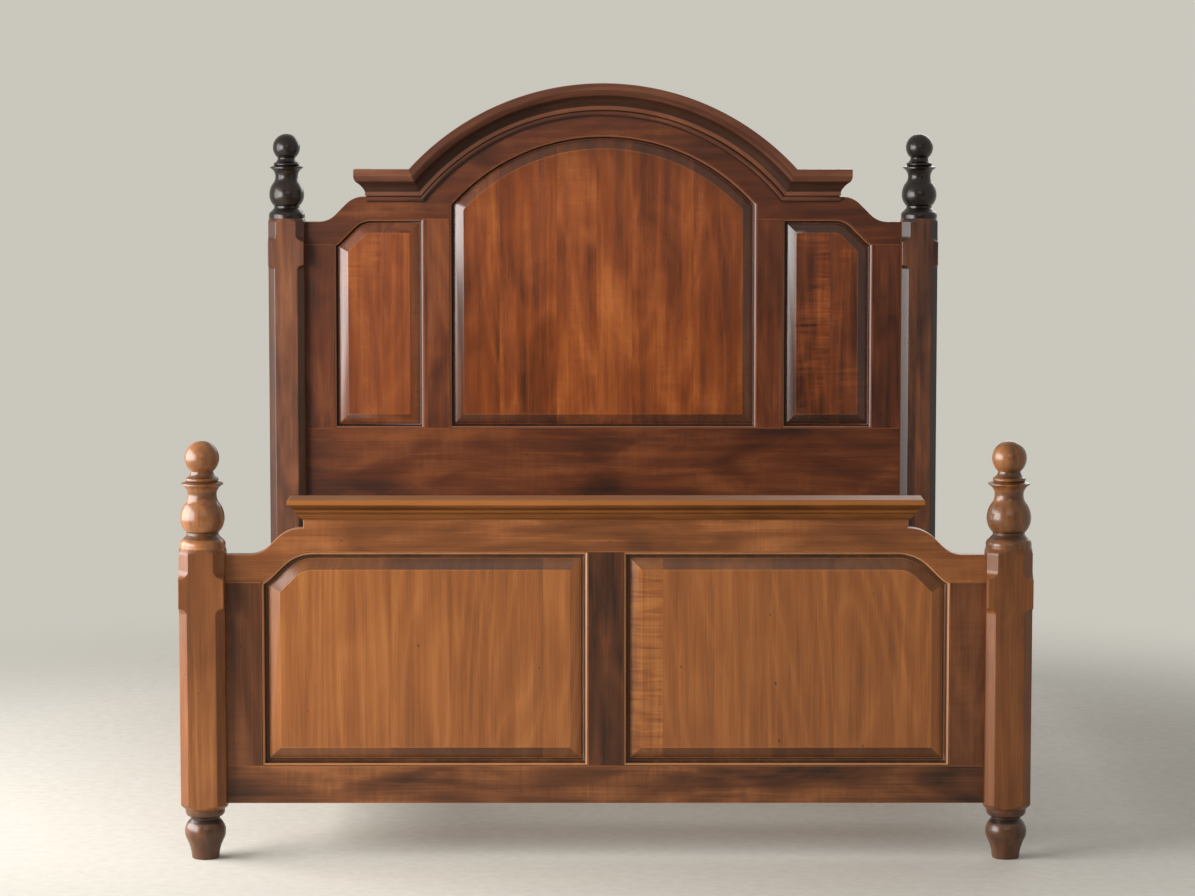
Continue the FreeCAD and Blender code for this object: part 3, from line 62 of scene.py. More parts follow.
# %% Camera
PHOTO_WIDTH = 1195
FOCAL_PIXELS = 3820.4
SENSOR_WIDTH = 36
CAMERA_PLACE = Vector((-0.0251, -8.693, 1.570))
CAMERA_PITCH = math.radians(-5.548)
CAMERA_YAW = -0.00114

lens = bpy.data.cameras.new("camera")
lens.sensor_width = SENSOR_WIDTH
lens.lens = FOCAL_PIXELS / PHOTO_WIDTH * SENSOR_WIDTH
camera = bpy.data.objects.new("camera", lens)
camera.location = CAMERA_PLACE
camera.rotation_euler = (math.pi / 2 + CAMERA_PITCH, 0, CAMERA_YAW)
scene.collection.objects.link(camera)
scene.camera = camera
print("lens:", round(lens.lens, 1), "mm")

# %% [markdown]
# ## Floor and light
# A large pale floor takes the bed's shadow. The light is a studio's: a big soft panel at the left, in front
# of the bed, a weaker one beside it, and two weak lamps, in front and behind, that fill the shadows. A big
# panel close by gives what the photograph shows on the bevels that face left: a broad, pale sheen, and wood
# that grows darker towards the right; the rest of that darkening is painted shade in the headboard's wood.
# The background colour is only for rays that come from the camera, from a glossy surface or through a
# transmission, so it does not change the light on the wood.


# %% Soft panels
def soft_panel(name, place, aim, width, height, watts, colour=(1, 1, 1)):
    light = bpy.data.lights.new(name, "AREA")
    light.shape = "RECTANGLE"
    light.size = width
    light.size_y = height
    light.energy = watts
    light.color = colour
    lamp = bpy.data.objects.new(name, light)
    lamp.location = place
    lamp.rotation_euler = (Vector(aim) - Vector(place)).to_track_quat("-Z", "Y").to_euler()
    lamp.visible_camera = False
    scene.collection.objects.link(lamp)
    return lamp


KEY_PLACE, KEY_LENGTH, KEY_HEIGHT = Vector((-3.4, -2.7, 1.40)), 3.2, 2.2
soft_panel("key_panel", KEY_PLACE, KEY_PLACE + Vector((1, 0, 0)), KEY_LENGTH, KEY_HEIGHT, 280, (1.0, 0.985, 0.965))
SIDE_PLACE, SIDE_LENGTH = Vector((-3.4, -0.18, 1.40)), 1.84
soft_panel("side_panel", SIDE_PLACE, SIDE_PLACE + Vector((1, 0, 0)), SIDE_LENGTH, KEY_HEIGHT, 95)
soft_panel("front_fill", (0.6, -7.0, 3.4), (0, -0.6, 0.7), 4.0, 2.0, 45)
soft_panel("back_fill", (2.2, 5.5, 3.0), (0, 0.5, 0.8), 3.5, 2.4, 70)

# %% [markdown]
# Lacquered wood mirrors whatever is in front of it. If that is a bright, empty studio, every dark board gets a
# grey veil. Photographers put a black cloth behind the camera. This one is only there for glossy rays: it
# casts no shadow, lights nothing and is never in the picture.

# %% Black cloth behind the camera
CLOTH_PLACE = Vector((0, -9.8, 3.0))
CLOTH_WIDTH, CLOTH_HEIGHT = 15.0, 7.6
bm = bmesh.new()
upright = Matrix.Translation(CLOTH_PLACE) @ Matrix.Rotation(math.pi / 2, 4, "X")
bmesh.ops.create_grid(bm, x_segments=1, y_segments=1, size=0.5,
                      matrix=upright @ Matrix.Diagonal((CLOTH_WIDTH, CLOTH_HEIGHT, 1, 1)))
cloth_mesh = bpy.data.meshes.new("black_cloth")
bm.to_mesh(cloth_mesh)
bm.free()
cloth = bpy.data.objects.new("black_cloth", cloth_mesh)
scene.collection.objects.link(cloth)
for kind in ("camera", "diffuse", "transmission", "volume_scatter", "shadow"):
    setattr(cloth, f"visible_{kind}", False)
cloth_paint = bpy.data.materials.new("black_cloth")
cloth_paint.use_nodes = True
cloth_paint.node_tree.nodes["Principled BSDF"].inputs["Base Color"].default_value = (0.01, 0.01, 0.01, 1)
cloth_paint.node_tree.nodes["Principled BSDF"].inputs["Roughness"].default_value = 1
cloth_mesh.materials.append(cloth_paint)


# %% Background
BACKDROP = (0.590, 0.570, 0.510, 1)
AMBIENT = 0.28

world = bpy.data.worlds.new("studio")
world.use_nodes = True
scene.world = world
tree = world.node_tree
surroundings = tree.nodes["Background"]
surroundings.inputs["Color"].default_value = (1, 0.99, 0.97, 1)
surroundings.inputs["Strength"].default_value = AMBIENT
seen = tree.nodes.new("ShaderNodeBackground")
seen.inputs["Color"].default_value = BACKDROP
ray = tree.nodes.new("ShaderNodeLightPath")
looks_out = tree.nodes.new("ShaderNodeMath")
looks_out.operation = "MAXIMUM"
either = tree.nodes.new("ShaderNodeMath")
either.operation = "MAXIMUM"
choose = tree.nodes.new("ShaderNodeMixShader")
tree.links.new(ray.outputs["Is Camera Ray"], looks_out.inputs[0])
tree.links.new(ray.outputs["Is Glossy Ray"], looks_out.inputs[1])
tree.links.new(looks_out.outputs[0], either.inputs[0])
tree.links.new(ray.outputs["Is Transmission Ray"], either.inputs[1])
tree.links.new(either.outputs[0], choose.inputs["Fac"])
tree.links.new(surroundings.outputs[0], choose.inputs[1])
tree.links.new(seen.outputs[0], choose.inputs[2])
tree.links.new(choose.outputs[0], tree.nodes["World Output"].inputs["Surface"])


# %% [markdown]
# ## The stained wood
# Every board is maple under a wiped stain and a satin lacquer. What makes it look like wood is several
# patterns on top of each other, all long along the grain and short across it: hair-fine fibres, broader
# streaks, wavy growth lines, cloudy patches where the stain sank in, small dark pin knots and, here and
# there, the ripples of curly figure. One function builds them all from noise on the object's own
# coordinates, so the grain runs on through a piece and does not stretch. A board glued up from several
# strips changes tone and pattern at each glue line.


# %% Node helpers
def linear(red, green, blue):
    """A colour as it is read off a screen, 0 to 255, as the shader wants it."""
    parts = [level / 255 for level in (red, green, blue)]
    return tuple(p / 12.92 if p <= 0.04045 else ((p + 0.055) / 1.055) ** 2.4 for p in parts) + (1,)


class Recipe:
    """A material's node tree, with one short call for each kind of node."""

    def __init__(self, name):
        self.material = bpy.data.materials.new(name)
        self.material.use_nodes = True
        self.tree = self.material.node_tree
        self.shader = self.tree.nodes["Principled BSDF"]

    def node(self, kind, **settings):
        made = self.tree.nodes.new("ShaderNode" + kind)
        for setting, value in settings.items():
            setattr(made, setting, value)
        return made

    def feed(self, socket, value):
        if isinstance(value, bpy.types.NodeSocket):
            self.tree.links.new(value, socket)
        else:
            socket.default_value = value

    def math(self, operation, *values, clamp=False):
        made = self.node("Math", operation=operation, use_clamp=clamp)
        for socket, value in zip(made.inputs, values):
            self.feed(socket, value)
        return made.outputs[0]

    def vector(self, *parts):
        made = self.node("CombineXYZ")
        for socket, value in zip(made.inputs, parts):
            self.feed(socket, value)
        return made.outputs[0]

    def stretched(self, vector, scale):
        made = self.node("VectorMath", operation="MULTIPLY")
        self.feed(made.inputs[0], vector)
        made.inputs[1].default_value = scale
        return made.outputs[0]

    def noise(self, vector, scale, detail=3.0, roughness=0.55, distortion=0.0):
        made = self.node("TexNoise")
        self.feed(made.inputs["Vector"], self.stretched(vector, scale))
        made.inputs["Scale"].default_value = 1
        made.inputs["Detail"].default_value = detail
        made.inputs["Roughness"].default_value = roughness
        made.inputs["Distortion"].default_value = distortion
        return made.outputs["Fac"]

    def range(self, value, low, high, out_low=0.0, out_high=1.0):
        made = self.node("MapRange")
        for socket, number in zip(made.inputs, (value, low, high, out_low, out_high)):
            self.feed(socket, number)
        return made.outputs[0]

    def ramp(self, value, stops, interpolation="LINEAR"):
        made = self.node("ValToRGB")
        self.feed(made.inputs[0], value)
        made.color_ramp.interpolation = interpolation
        stop_list = made.color_ramp.elements
        while len(stop_list) < len(stops):
            stop_list.new(1)
        for stop, (position, colour) in zip(stop_list, sorted(stops)):
            stop.position = position
            stop.color = colour
        return made.outputs[0]

    def mix(self, amount, first, second, blend="MIX"):
        made = self.node("Mix", data_type="RGBA", blend_type=blend)
        self.feed(made.inputs[0], amount)
        self.feed(made.inputs[6], first)
        self.feed(made.inputs[7], second)
        return made.outputs[2]


# %% Stained wood
FIBRE = (10, 620, 620)
STREAK = (1.5, 46, 46)
FIGURE = (0.75, 5.5, 5.5)
CLOUD = (3.6, 9, 9)
RIPPLE = (95, 9, 9)
KNOT = (26, 42, 42)
ARCH = "arch"


def grain_axes(recipe, grain, arch_centre):
    """Distances along the grain, across it and through the board."""
    place = recipe.node("TexCoord").outputs["Object"]
    split = recipe.node("SeparateXYZ")
    recipe.feed(split.inputs[0], place)
    x, y, z = split.outputs
    if grain == "X":
        return x, z, y
    if grain == "Y":
        return y, z, x
    if grain == "Z":
        return z, x, y
    height = recipe.math("SUBTRACT", z, arch_centre)
    angle = recipe.math("ARCTAN2", x, height)
    square = recipe.math("ADD", recipe.math("MULTIPLY", x, x), recipe.math("MULTIPLY", height, height))
    return recipe.math("MULTIPLY", angle, 0.6), recipe.math("SQRT", square), y


def strip_and_shade_bands(recipe, across, joints):
    """Tone from 0 to 1 of each glued strip and each band of painted shade; joints are (left edge, tone)."""
    first, last = joints[0][0], joints[-1][0]
    width = last - first
    place = recipe.range(across, first, last)
    stops = [((edge - first) / width, (tone, tone, tone, 1)) for edge, tone in joints]
    return recipe.ramp(place, stops, "CONSTANT")


def wood(name, deep, middle, bright, grain="Z", strips=None, seed=0.0, stain_and_shade=None, rubbed_and_lit=None, fibre=0.16,
         streak=0.5, figure=0.22, cloud=0.45, ripple=0.0, knots=0.5, strip=0.5, curly=None, polish=0.34, coat=0.0,
         specular=0.4, edge_dark=None, arch_centre=0.0):
    """Stained maple. deep, middle and bright are its tones; the other amounts say how strong each pattern is."""
    recipe = Recipe(name)
    along, across, through = grain_axes(recipe, grain, arch_centre)
    tone = recipe.math("MULTIPLY", 1.0, 0.5)
    shifted = recipe.math("ADD", along, seed)
    strip_tone = None
    if strips:
        strip_tone = strip_and_shade_bands(recipe, across, strips)
        shifted = recipe.math("ADD", shifted, recipe.math("MULTIPLY", strip_tone, 9.7))
        tone = recipe.math("ADD", tone, recipe.math("MULTIPLY", recipe.math("SUBTRACT", strip_tone, 0.5), strip))
    place = recipe.vector(shifted, across, through)
    fibres = recipe.noise(place, FIBRE, 3, 0.6)
    streaks = recipe.noise(place, STREAK, 4, 0.6, 0.25)
    clouds = recipe.noise(place, CLOUD, 3, 0.55, 0.6)
    contour = recipe.math("MULTIPLY", recipe.noise(place, FIGURE, 1.2, 0.4, 0.35), 15)
    lines = recipe.math("PINGPONG", contour, 0.5)
    lines = recipe.math("POWER", recipe.math("MULTIPLY", lines, 2), 1.8)
    for pattern, amount in ((fibres, fibre * 2), (streaks, streak), (clouds, cloud)):
        tone = recipe.math("MULTIPLY_ADD", recipe.math("SUBTRACT", pattern, 0.5), amount * 1.6, tone)
    tone = recipe.math("MULTIPLY_ADD", recipe.math("SUBTRACT", lines, 0.33), figure * 0.5, tone)
    if ripple:
        ripples = recipe.noise(place, RIPPLE, 1.5, 0.5, 0.8)
        where = recipe.range(clouds, 0.48, 0.62)
        if curly:
            where = recipe.math("COMPARE", strip_tone, curly, 0.01)
        curl = recipe.math("MULTIPLY", recipe.math("SUBTRACT", ripples, 0.5), where)
        tone = recipe.math("MULTIPLY_ADD", curl, ripple * 2.2, tone)
    colour = recipe.ramp(tone, [(0.05, linear(*deep)), (0.5, linear(*middle)), (0.95, linear(*bright))])
    if knots:
        cells = recipe.node("TexVoronoi")
        recipe.feed(cells.inputs["Vector"], recipe.stretched(place, KNOT))
        cells.inputs["Scale"].default_value = 1
        split = recipe.node("SeparateColor")
        recipe.feed(split.inputs[0], cells.outputs["Color"])
        chosen = recipe.math("LESS_THAN", split.outputs[0], 0.16)
        spot = recipe.range(cells.outputs["Distance"], 0.04, 0.11, 1, 0)
        colour = recipe.mix(recipe.math("MULTIPLY", recipe.math("MULTIPLY", spot, chosen), knots), colour,
                            linear(*[level * 0.35 for level in deep]))
    if edge_dark:
        colour = darkened_edges(recipe, colour, *edge_dark)
    colour = wear_glaze_and_painted_light(recipe, colour, stain_and_shade or [level * 0.45 for level in deep],
                             rubbed_and_lit or [min(level * 1.25, 255) for level in bright], strip_tone)
    recipe.feed(recipe.shader.inputs["Base Color"], colour)
    gloss = recipe.range(streaks, 0.2, 0.8, polish + 0.07, polish - 0.05)
    recipe.feed(recipe.shader.inputs["Roughness"], gloss)
    recipe.shader.inputs["Specular IOR Level"].default_value = specular
    recipe.shader.inputs["Coat Weight"].default_value = coat
    recipe.shader.inputs["Coat Roughness"].default_value = 0.12
    height = recipe.math("ADD", fibres, recipe.math("MULTIPLY", streaks, 1.5))
    bump = recipe.node("Bump")
    bump.inputs["Strength"].default_value = 0.22
    bump.inputs["Distance"].default_value = 0.5 * MM
    recipe.feed(bump.inputs["Height"], height)
    recipe.feed(recipe.shader.inputs["Normal"], bump.outputs[0])
    return recipe.material


def darkened_edges(recipe, colour, centre, reach, dark, amount):
    """Darker colour away from the middle of a board, towards its edges."""
    split = recipe.node("SeparateXYZ")
    recipe.feed(split.inputs[0], recipe.node("TexCoord").outputs["Object"])
    squares = []
    for value, middle, length in zip((split.outputs[0], split.outputs[2]), centre, reach):
        share = recipe.math("DIVIDE", recipe.math("SUBTRACT", value, middle), length)
        squares.append(recipe.math("POWER", recipe.math("ABSOLUTE", share), 4))
    distance = recipe.math("ADD", *squares)
    shade = recipe.math("MULTIPLY", recipe.range(distance, 0.15, 1.1), amount)
    return recipe.mix(shade, colour, linear(*dark))


def wear_glaze_and_painted_light(recipe, colour, stain_and_shade, rubbed_and_lit, strip_tone):
    """A face marked below 0 turns darker and one above 0 lighter: glaze, wear, painted shade and painted light.

    Darker glued strips, and the bands of painted shade on the headboard, take more of the dark colour.
    """
    mark = recipe.node("Attribute", attribute_name="tone").outputs["Fac"]
    thirst = -1.0
    if strip_tone:
        thirst = recipe.math("SUBTRACT", recipe.math("MULTIPLY", strip_tone, 1.6), 1.9)
    glaze_and_shade_bands = recipe.math("MULTIPLY", mark, thirst, clamp=True)
    colour = recipe.mix(glaze_and_shade_bands, colour, linear(*stain_and_shade))
    return recipe.mix(recipe.math("MULTIPLY", mark, 1, clamp=True), colour, linear(*rubbed_and_lit))


# %% [markdown]
# ### The finishes
# The footboard is a clear honey brown with darker umber stiles, middle stile and feet. The headboard is a
# deep red brown, darker towards the edges of its centre panel, and its finials are almost black. Its boards
# are also painted darker towards the right, a painted shade. Each finish is one call with three tones, and
# the amounts say how lively the grain is.

# %% Finishes of the footboard
FOOT_STRIPS = [(-0.70, 0.60), (-0.437, 0.40), (-0.330, 0.36), (-0.228, 0.42), (-0.127, 0.62),
               (0.035, 0.64), (0.110, 0.44), (0.215, 0.56), (0.330, 0.38), (0.455, 0.50), (0.70, 0.5)]
honey_panel = wood("honey_panel", (92, 50, 20), (144, 84, 38), (178, 114, 58), "Z", FOOT_STRIPS, 0.0,
                   ripple=0.5, curly=0.64, knots=0.85, cloud=0.30, streak=0.42, figure=0.3, strip=0.30, polish=0.30,
                   specular=0.5, stain_and_shade=(56, 31, 18))
honey_rail = wood("honey_rail", (66, 34, 14), (122, 70, 33), (166, 104, 56), "X", seed=2.3, cloud=0.9,
                  ripple=0.14)
honey_cap = wood("honey_cap", (58, 31, 13), (108, 64, 30), (146, 92, 50), "X", seed=5.1, knots=0.9, streak=0.6,
                 specular=0.1)
honey_post = wood("honey_post", (66, 36, 15), (114, 66, 31), (152, 96, 50), "Z", seed=1.7, cloud=0.6)
FOOT_SHADES = [(-0.80, 0.68), (-0.30, 0.30), (0.30, 0.62), (0.80, 0.5)]
umber_stile = wood("umber_stile", (40, 20, 9), (88, 48, 23), (128, 76, 40), "Z", FOOT_SHADES, 3.9, cloud=1.0,
                   streak=0.3, strip=0.5, ripple=0.15)
umber_rail = wood("umber_rail", (38, 20, 10), (96, 54, 27), (142, 88, 48), "X", seed=7.4, cloud=1.25, ripple=0.2,
                  streak=0.45)
honey_turned = wood("honey_turned", (50, 27, 11), (116, 70, 34), (168, 110, 60), "Z", seed=4.4, coat=0.3,
                    polish=0.34, cloud=1.0, stain_and_shade=(40, 22, 10))
umber_turned = wood("umber_turned", (34, 18, 9), (74, 43, 23), (112, 70, 40), "Z", seed=6.2, coat=0.25,
                    polish=0.34, cloud=0.7)
# Its lighter colour is for the sticking's facet: wear and a painted highlight.
honey_sticking = wood("honey_sticking", (52, 27, 12), (100, 58, 28), (148, 92, 50), "Z", seed=8.8, knots=0,
                      rubbed_and_lit=(206, 146, 100))

# %% Finishes of the headboard
# Glue strips of the headboard's panels; the strips at the right are darker, partly a painted shade.
HEAD_STRIPS_AND_SHADE = [(-0.69, 0.58), (-0.57, 0.72), (-0.46, 0.55), (-0.38, 0.46), (-0.265, 0.38), (-0.12, 0.50),
               (-0.02, 0.72), (0.075, 0.48), (0.23, 0.42), (0.46, 0.14), (0.58, 0.24), (0.69, 0.5)]
# The headboard's stiles, mullions and posts are painted darker towards the right, a painted shade.
HEAD_PAINTED_SHADE = [(-0.80, 0.50), (-0.45, 0.68), (0.0, 0.40), (0.50, 0.10), (0.80, 0.2)]
RED_DARK = (40, 17, 7)
red_centre_panel = wood("red_centre_panel", (66, 29, 10), (130, 65, 29), (172, 98, 46), "Z", HEAD_STRIPS_AND_SHADE, 0.6,
                        ripple=0.12, cloud=0.8, strip=0.4, streak=0.5, polish=0.25, specular=0.6, stain_and_shade=(46, 22, 11),
                        edge_dark=((0, 0.98), (0.44, 0.45), RED_DARK, 0.8))
red_side_panel = wood("red_side_panel", (52, 22, 8), (124, 62, 29), (162, 92, 46), "Z", HEAD_STRIPS_AND_SHADE, 3.3,
                      ripple=0.4, cloud=0.6, strip=0.7, polish=0.25, specular=0.6, stain_and_shade=(46, 22, 11))
red_stile = wood("red_stile", (32, 13, 6), (92, 45, 22), (136, 76, 40), "Z", HEAD_PAINTED_SHADE, 2.9, cloud=0.8,
                 strip=0.6)
red_rail = wood("red_rail", (38, 16, 7), (84, 40, 18), (122, 67, 33), "X", seed=4.7, cloud=0.95, ripple=0.12)
red_post = wood("red_post", (36, 16, 8), (104, 58, 32), (142, 88, 54), "Z", HEAD_PAINTED_SHADE, 5.5, cloud=0.8,
                strip=0.5, specular=0.6, stain_and_shade=(42, 21, 12))
# Its lighter colour is for the sticking's facet: wear and a painted highlight.
red_sticking = wood("red_sticking", (26, 12, 6), (62, 31, 16), (104, 60, 34), "Z", seed=9.6, knots=0,
                    rubbed_and_lit=(160, 102, 72))
ARCH_CENTRE = 884.15 * MM
dark_arch = wood("dark_arch", (34, 16, 9), (86, 46, 28), (128, 78, 50), ARCH, seed=1.1, cloud=0.7,
                 arch_centre=ARCH_CENTRE)
dark_ear = wood("dark_ear", (44, 22, 12), (96, 54, 36), (134, 84, 58), "X", seed=6.6, cloud=0.7)
ebony_turned = wood("ebony_turned", (10, 6, 5), (28, 18, 13), (54, 34, 24), "Z", seed=0.9, coat=0.2,
                    polish=0.3, knots=0, specular=0.35)
plain_board = wood("plain_board", (156, 124, 84), (192, 160, 116), (216, 188, 146), "X", seed=3.1, knots=0.6,
                   polish=0.55)
plain_upright = wood("plain_upright", (150, 118, 80), (188, 156, 112), (212, 184, 142), "Z", seed=4.2,
                     polish=0.55)


# %% [markdown]
# ## A pencil for outlines
# A joiner draws an outline first. This pencil does the same in a bmesh: a straight stroke extrudes the last
# vertex, and an arc spins it about the arc's centre. Outlines lie in the XZ plane, as seen from the foot end.
# From an outline a board is cut, a panel is raised or a profile is turned.


# %% Pencil
ARC_STEP = math.radians(6)
SAME_PLACE = 0.01 * MM


class Pencil:
    def __init__(self, across, up, y=0.0):
        self.bm = bmesh.new()
        self.bm.faces.layers.float.new("tone")
        self.tip = self.bm.verts.new((across, y, up))

    def line(self, across, up):
        end = Vector((across, self.tip.co.y, up))
        if (end - self.tip.co).length > SAME_PLACE:
            self.tip = bmesh.ops.extrude_vert_indiv(self.bm, verts=[self.tip])["verts"][0]
            self.tip.co = end

    def arc(self, across, up, radius, turn, steps=None):
        """An arc to a point. turn is 1 anticlockwise and -1 clockwise."""
        start = self.tip.co.copy()
        end = Vector((across, start.y, up))
        chord = end - start
        to_left = Vector((-chord.z, 0, chord.x)).normalized()
        height = math.sqrt(max(radius ** 2 - chord.length_squared / 4, 0))
        centre = (start + end) / 2 + to_left * height * turn
        angle = 2 * math.asin(min(chord.length / 2 / radius, 1))
        steps = steps or max(2, math.ceil(angle / ARC_STEP))
        spun = bmesh.ops.spin(self.bm, geom=[self.tip], cent=centre, axis=(0, -turn, 0), angle=angle, steps=steps)
        self.tip = [item for item in spun["geom_last"] if isinstance(item, bmesh.types.BMVert)][0]

    def closed_face(self):
        bmesh.ops.remove_doubles(self.bm, verts=self.bm.verts, dist=SAME_PLACE)
        made = bmesh.ops.contextual_create(self.bm, geom=self.bm.edges)
        return made["faces"][0]


# %% Putting a piece in place
SHARP = math.radians(32)


def place_piece(node, bm, material, slot, body="bed", also=()):
    """Makes the object for a node from its bmesh, shades it evenly and lets it ride on its body."""
    bmesh.ops.remove_doubles(bm, verts=bm.verts, dist=SAME_PLACE)
    bmesh.ops.recalc_face_normals(bm, faces=bm.faces)
    for face in bm.faces:
        face.smooth = True
    for edge in bm.edges:
        edge.smooth = edge.calc_face_angle(0) < SHARP
    mesh = bpy.data.meshes.new(node + "_wood")
    bm.to_mesh(mesh)
    bm.free()
    piece = bpy.data.objects.new(node + "_wood", mesh)
    scene.collection.objects.link(piece)
    mesh.materials.append(material)
    shading = piece.modifiers.new("even_shading", "WEIGHTED_NORMAL")
    shading.keep_sharp = True
    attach(piece, body)
    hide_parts(node, *also)
    return piece


def report(title, pieces):
    faces = sum(len(piece.data.polygons) for piece in pieces)
    print(f"{title}: {len(pieces)} pieces, {faces} faces")


# %% Easing the edges
EASE = 1.2 * MM
# Eased edges are painted lighter: partly wear, partly a painted highlight along the arris.
RUBBED_AND_LIT = 0.45


def tone_layer(bm):
    return bm.faces.layers.float.get("tone") or bm.faces.layers.float.new("tone")


def ease_edges(bm, width=EASE, rubbed_and_lit=RUBBED_AND_LIT):
    """Rounds every sharp edge a little, as sandpaper does, and marks the new faces lighter: wear and a painted
    highlight.
    """
    tone = tone_layer(bm)
    edges = [edge for edge in bm.edges if edge.calc_face_angle(0) > SHARP]
    made = bmesh.ops.bevel(bm, geom=edges, offset=width, offset_type="OFFSET", affect="EDGES", segments=2,
                           profile=0.5, material=-1)
    for face in made["faces"]:
        face[tone] = rubbed_and_lit


# %% [markdown]
# ## Plain boards
# Stiles, mullions, bottom rails, side rails and slats are sawn boards with eased edges. Each is a cube
# stretched to its size. The node's box gives its place; a tenon inside a joint isn't shown, so a board stops
# at the shoulder where it meets its neighbour.


# %% Boards
def make_board(node, material, slot, x=None, z=None, shy=0.0, ease=EASE, rubbed_and_lit=RUBBED_AND_LIT):
    low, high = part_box(node)
    if x:
        low.x, high.x = x
    if z:
        low.z, high.z = z
    high.z -= shy
    bm = bmesh.new()
    stretch = Matrix.Translation((low + high) / 2) @ Matrix.Diagonal((*(high - low), 1))
    bmesh.ops.create_cube(bm, size=1, matrix=stretch)
    ease_edges(bm, ease, rubbed_and_lit)
    return place_piece(node, bm, material, slot)


SIDES = ("left", "right")
inner_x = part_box("footboard_post_right")[0].x
foot_low_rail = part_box("footboard_bottom_rail")
foot_top_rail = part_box("footboard_top_rail")
foot_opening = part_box("footboard_moulding_right")
head_low_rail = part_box("headboard_bottom_rail")
head_top_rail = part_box("headboard_top_rail")
side_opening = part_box("headboard_side_moulding_right")
centre_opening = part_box("headboard_centre_moulding")

boards = [
    make_board("footboard_bottom_rail", umber_rail, "umber_maple", x=(-inner_x, inner_x)),
    make_board("footboard_mullion", umber_stile, "umber_maple", z=(foot_low_rail[1].z, foot_opening[1].z)),
    make_board("headboard_bottom_rail", red_rail, "red_brown_maple", x=(-inner_x, inner_x)),
]
for side in SIDES:
    boards += [
        make_board(f"footboard_stile_{side}", umber_stile, "umber_maple", z=(foot_low_rail[1].z, foot_top_rail[0].z)),
        make_board(f"headboard_stile_{side}", red_stile, "red_brown_maple", z=(head_low_rail[1].z, head_top_rail[0].z)),
        make_board(f"headboard_mullion_{side}", red_stile, "red_brown_maple", z=(head_low_rail[1].z, side_opening[1].z)),
    ]
report("boards", boards)

# %% [markdown]
# ## Shaped rails
# The top rails are cut from wide boards. Their outline steps up from the posts in an S, a hollow that flows
# into a round, and the same S, drawn further in, is the lower edge over the panels. Only the right half is
# drawn; a mirror gives the other half.

# %% The S-shaped corner
DIAGONAL = math.sqrt(0.5)
SCOOP_ANGLE = math.radians(27)


SCOOP_STEPS = 10


def draw_scoop(pencil, outer, start, top, angle, hollow, full, inset=0.0):
    """From (outer, start) up to the level top: a hollow, a slope of 45 degrees and a round.

    inset moves the whole line inwards, as the next line of a moulding lies.
    """
    straight = top - start - hollow * (math.cos(angle) - DIAGONAL) - full * (1 - DIAGONAL)
    hollow_x = outer + hollow * math.sin(angle)
    hollow_z = start + hollow * math.cos(angle)
    full_x = hollow_x - hollow * DIAGONAL - straight - full * DIAGONAL
    outer_arc = hollow + inset
    inner_arc = full - inset
    start_sine = (hollow * math.sin(angle) + inset) / outer_arc
    pencil.line(outer - inset, hollow_z - outer_arc * math.sqrt(1 - start_sine ** 2))
    pencil.arc(hollow_x - outer_arc * DIAGONAL, hollow_z - outer_arc * DIAGONAL, outer_arc, -1, SCOOP_STEPS)
    pencil.line(full_x + inner_arc * DIAGONAL, top - full + inner_arc * DIAGONAL)
    pencil.arc(full_x, top - full + inner_arc, inner_arc, 1, SCOOP_STEPS)


# %% Cutting a rail from its outline
BOARD = foot_low_rail[1].y - foot_low_rail[0].y


def cut_rail(node, pencil, front, material, slot):
    """A board from the right half of its outline: mirrored, filled and given its thickness."""
    bm = pencil.bm
    half = bm.verts[:] + bm.edges[:]
    bmesh.ops.mirror(bm, geom=half, axis="X", merge_dist=SAME_PLACE)
    face = pencil.closed_face()
    bmesh.ops.translate(bm, verts=bm.verts, vec=(0, front, 0))
    thick = bmesh.ops.extrude_face_region(bm, geom=[face])
    moved = [item for item in thick["geom"] if isinstance(item, bmesh.types.BMVert)]
    bmesh.ops.translate(bm, verts=moved, vec=(0, BOARD, 0))
    bmesh.ops.recalc_face_normals(bm, faces=bm.faces)
    ease_edges(bm)
    return place_piece(node, bm, material, slot)


# %% Footboard top rail
FOOT_HOLLOW, FOOT_ROUND = 74 * MM, 90 * MM
FOOT_SHOULDER = 47 * MM
FOOT_CREST_HOLLOW, FOOT_CREST_ROUND = 57 * MM, 75 * MM
FOOT_SHOULDER_RISE = 56.5 * MM
FOOT_CREST_RISE = 53.5 * MM
CAP_SEAT_SETBACK = 156.5 * MM

corner = foot_top_rail[0].z
shoulder = corner + FOOT_SHOULDER_RISE
crest = shoulder + FOOT_CREST_RISE
seat_half = inner_x - CAP_SEAT_SETBACK
pencil = Pencil(inner_x, corner)
start = pencil.tip
pencil.line(inner_x, shoulder)
draw_scoop(pencil, inner_x - FOOT_SHOULDER, shoulder, crest, 0, FOOT_CREST_HOLLOW, FOOT_CREST_ROUND)
pencil.line(seat_half, crest)
pencil.line(seat_half, foot_top_rail[1].z)
pencil.line(0, foot_top_rail[1].z)
pencil.tip = start
pencil.line(foot_opening[1].x, corner)
draw_scoop(pencil, foot_opening[1].x, corner, foot_opening[1].z, SCOOP_ANGLE, FOOT_HOLLOW, FOOT_ROUND)
pencil.line(0, foot_opening[1].z)
rails = [cut_rail("footboard_top_rail", pencil, foot_low_rail[0].y, honey_rail, "honey_maple")]

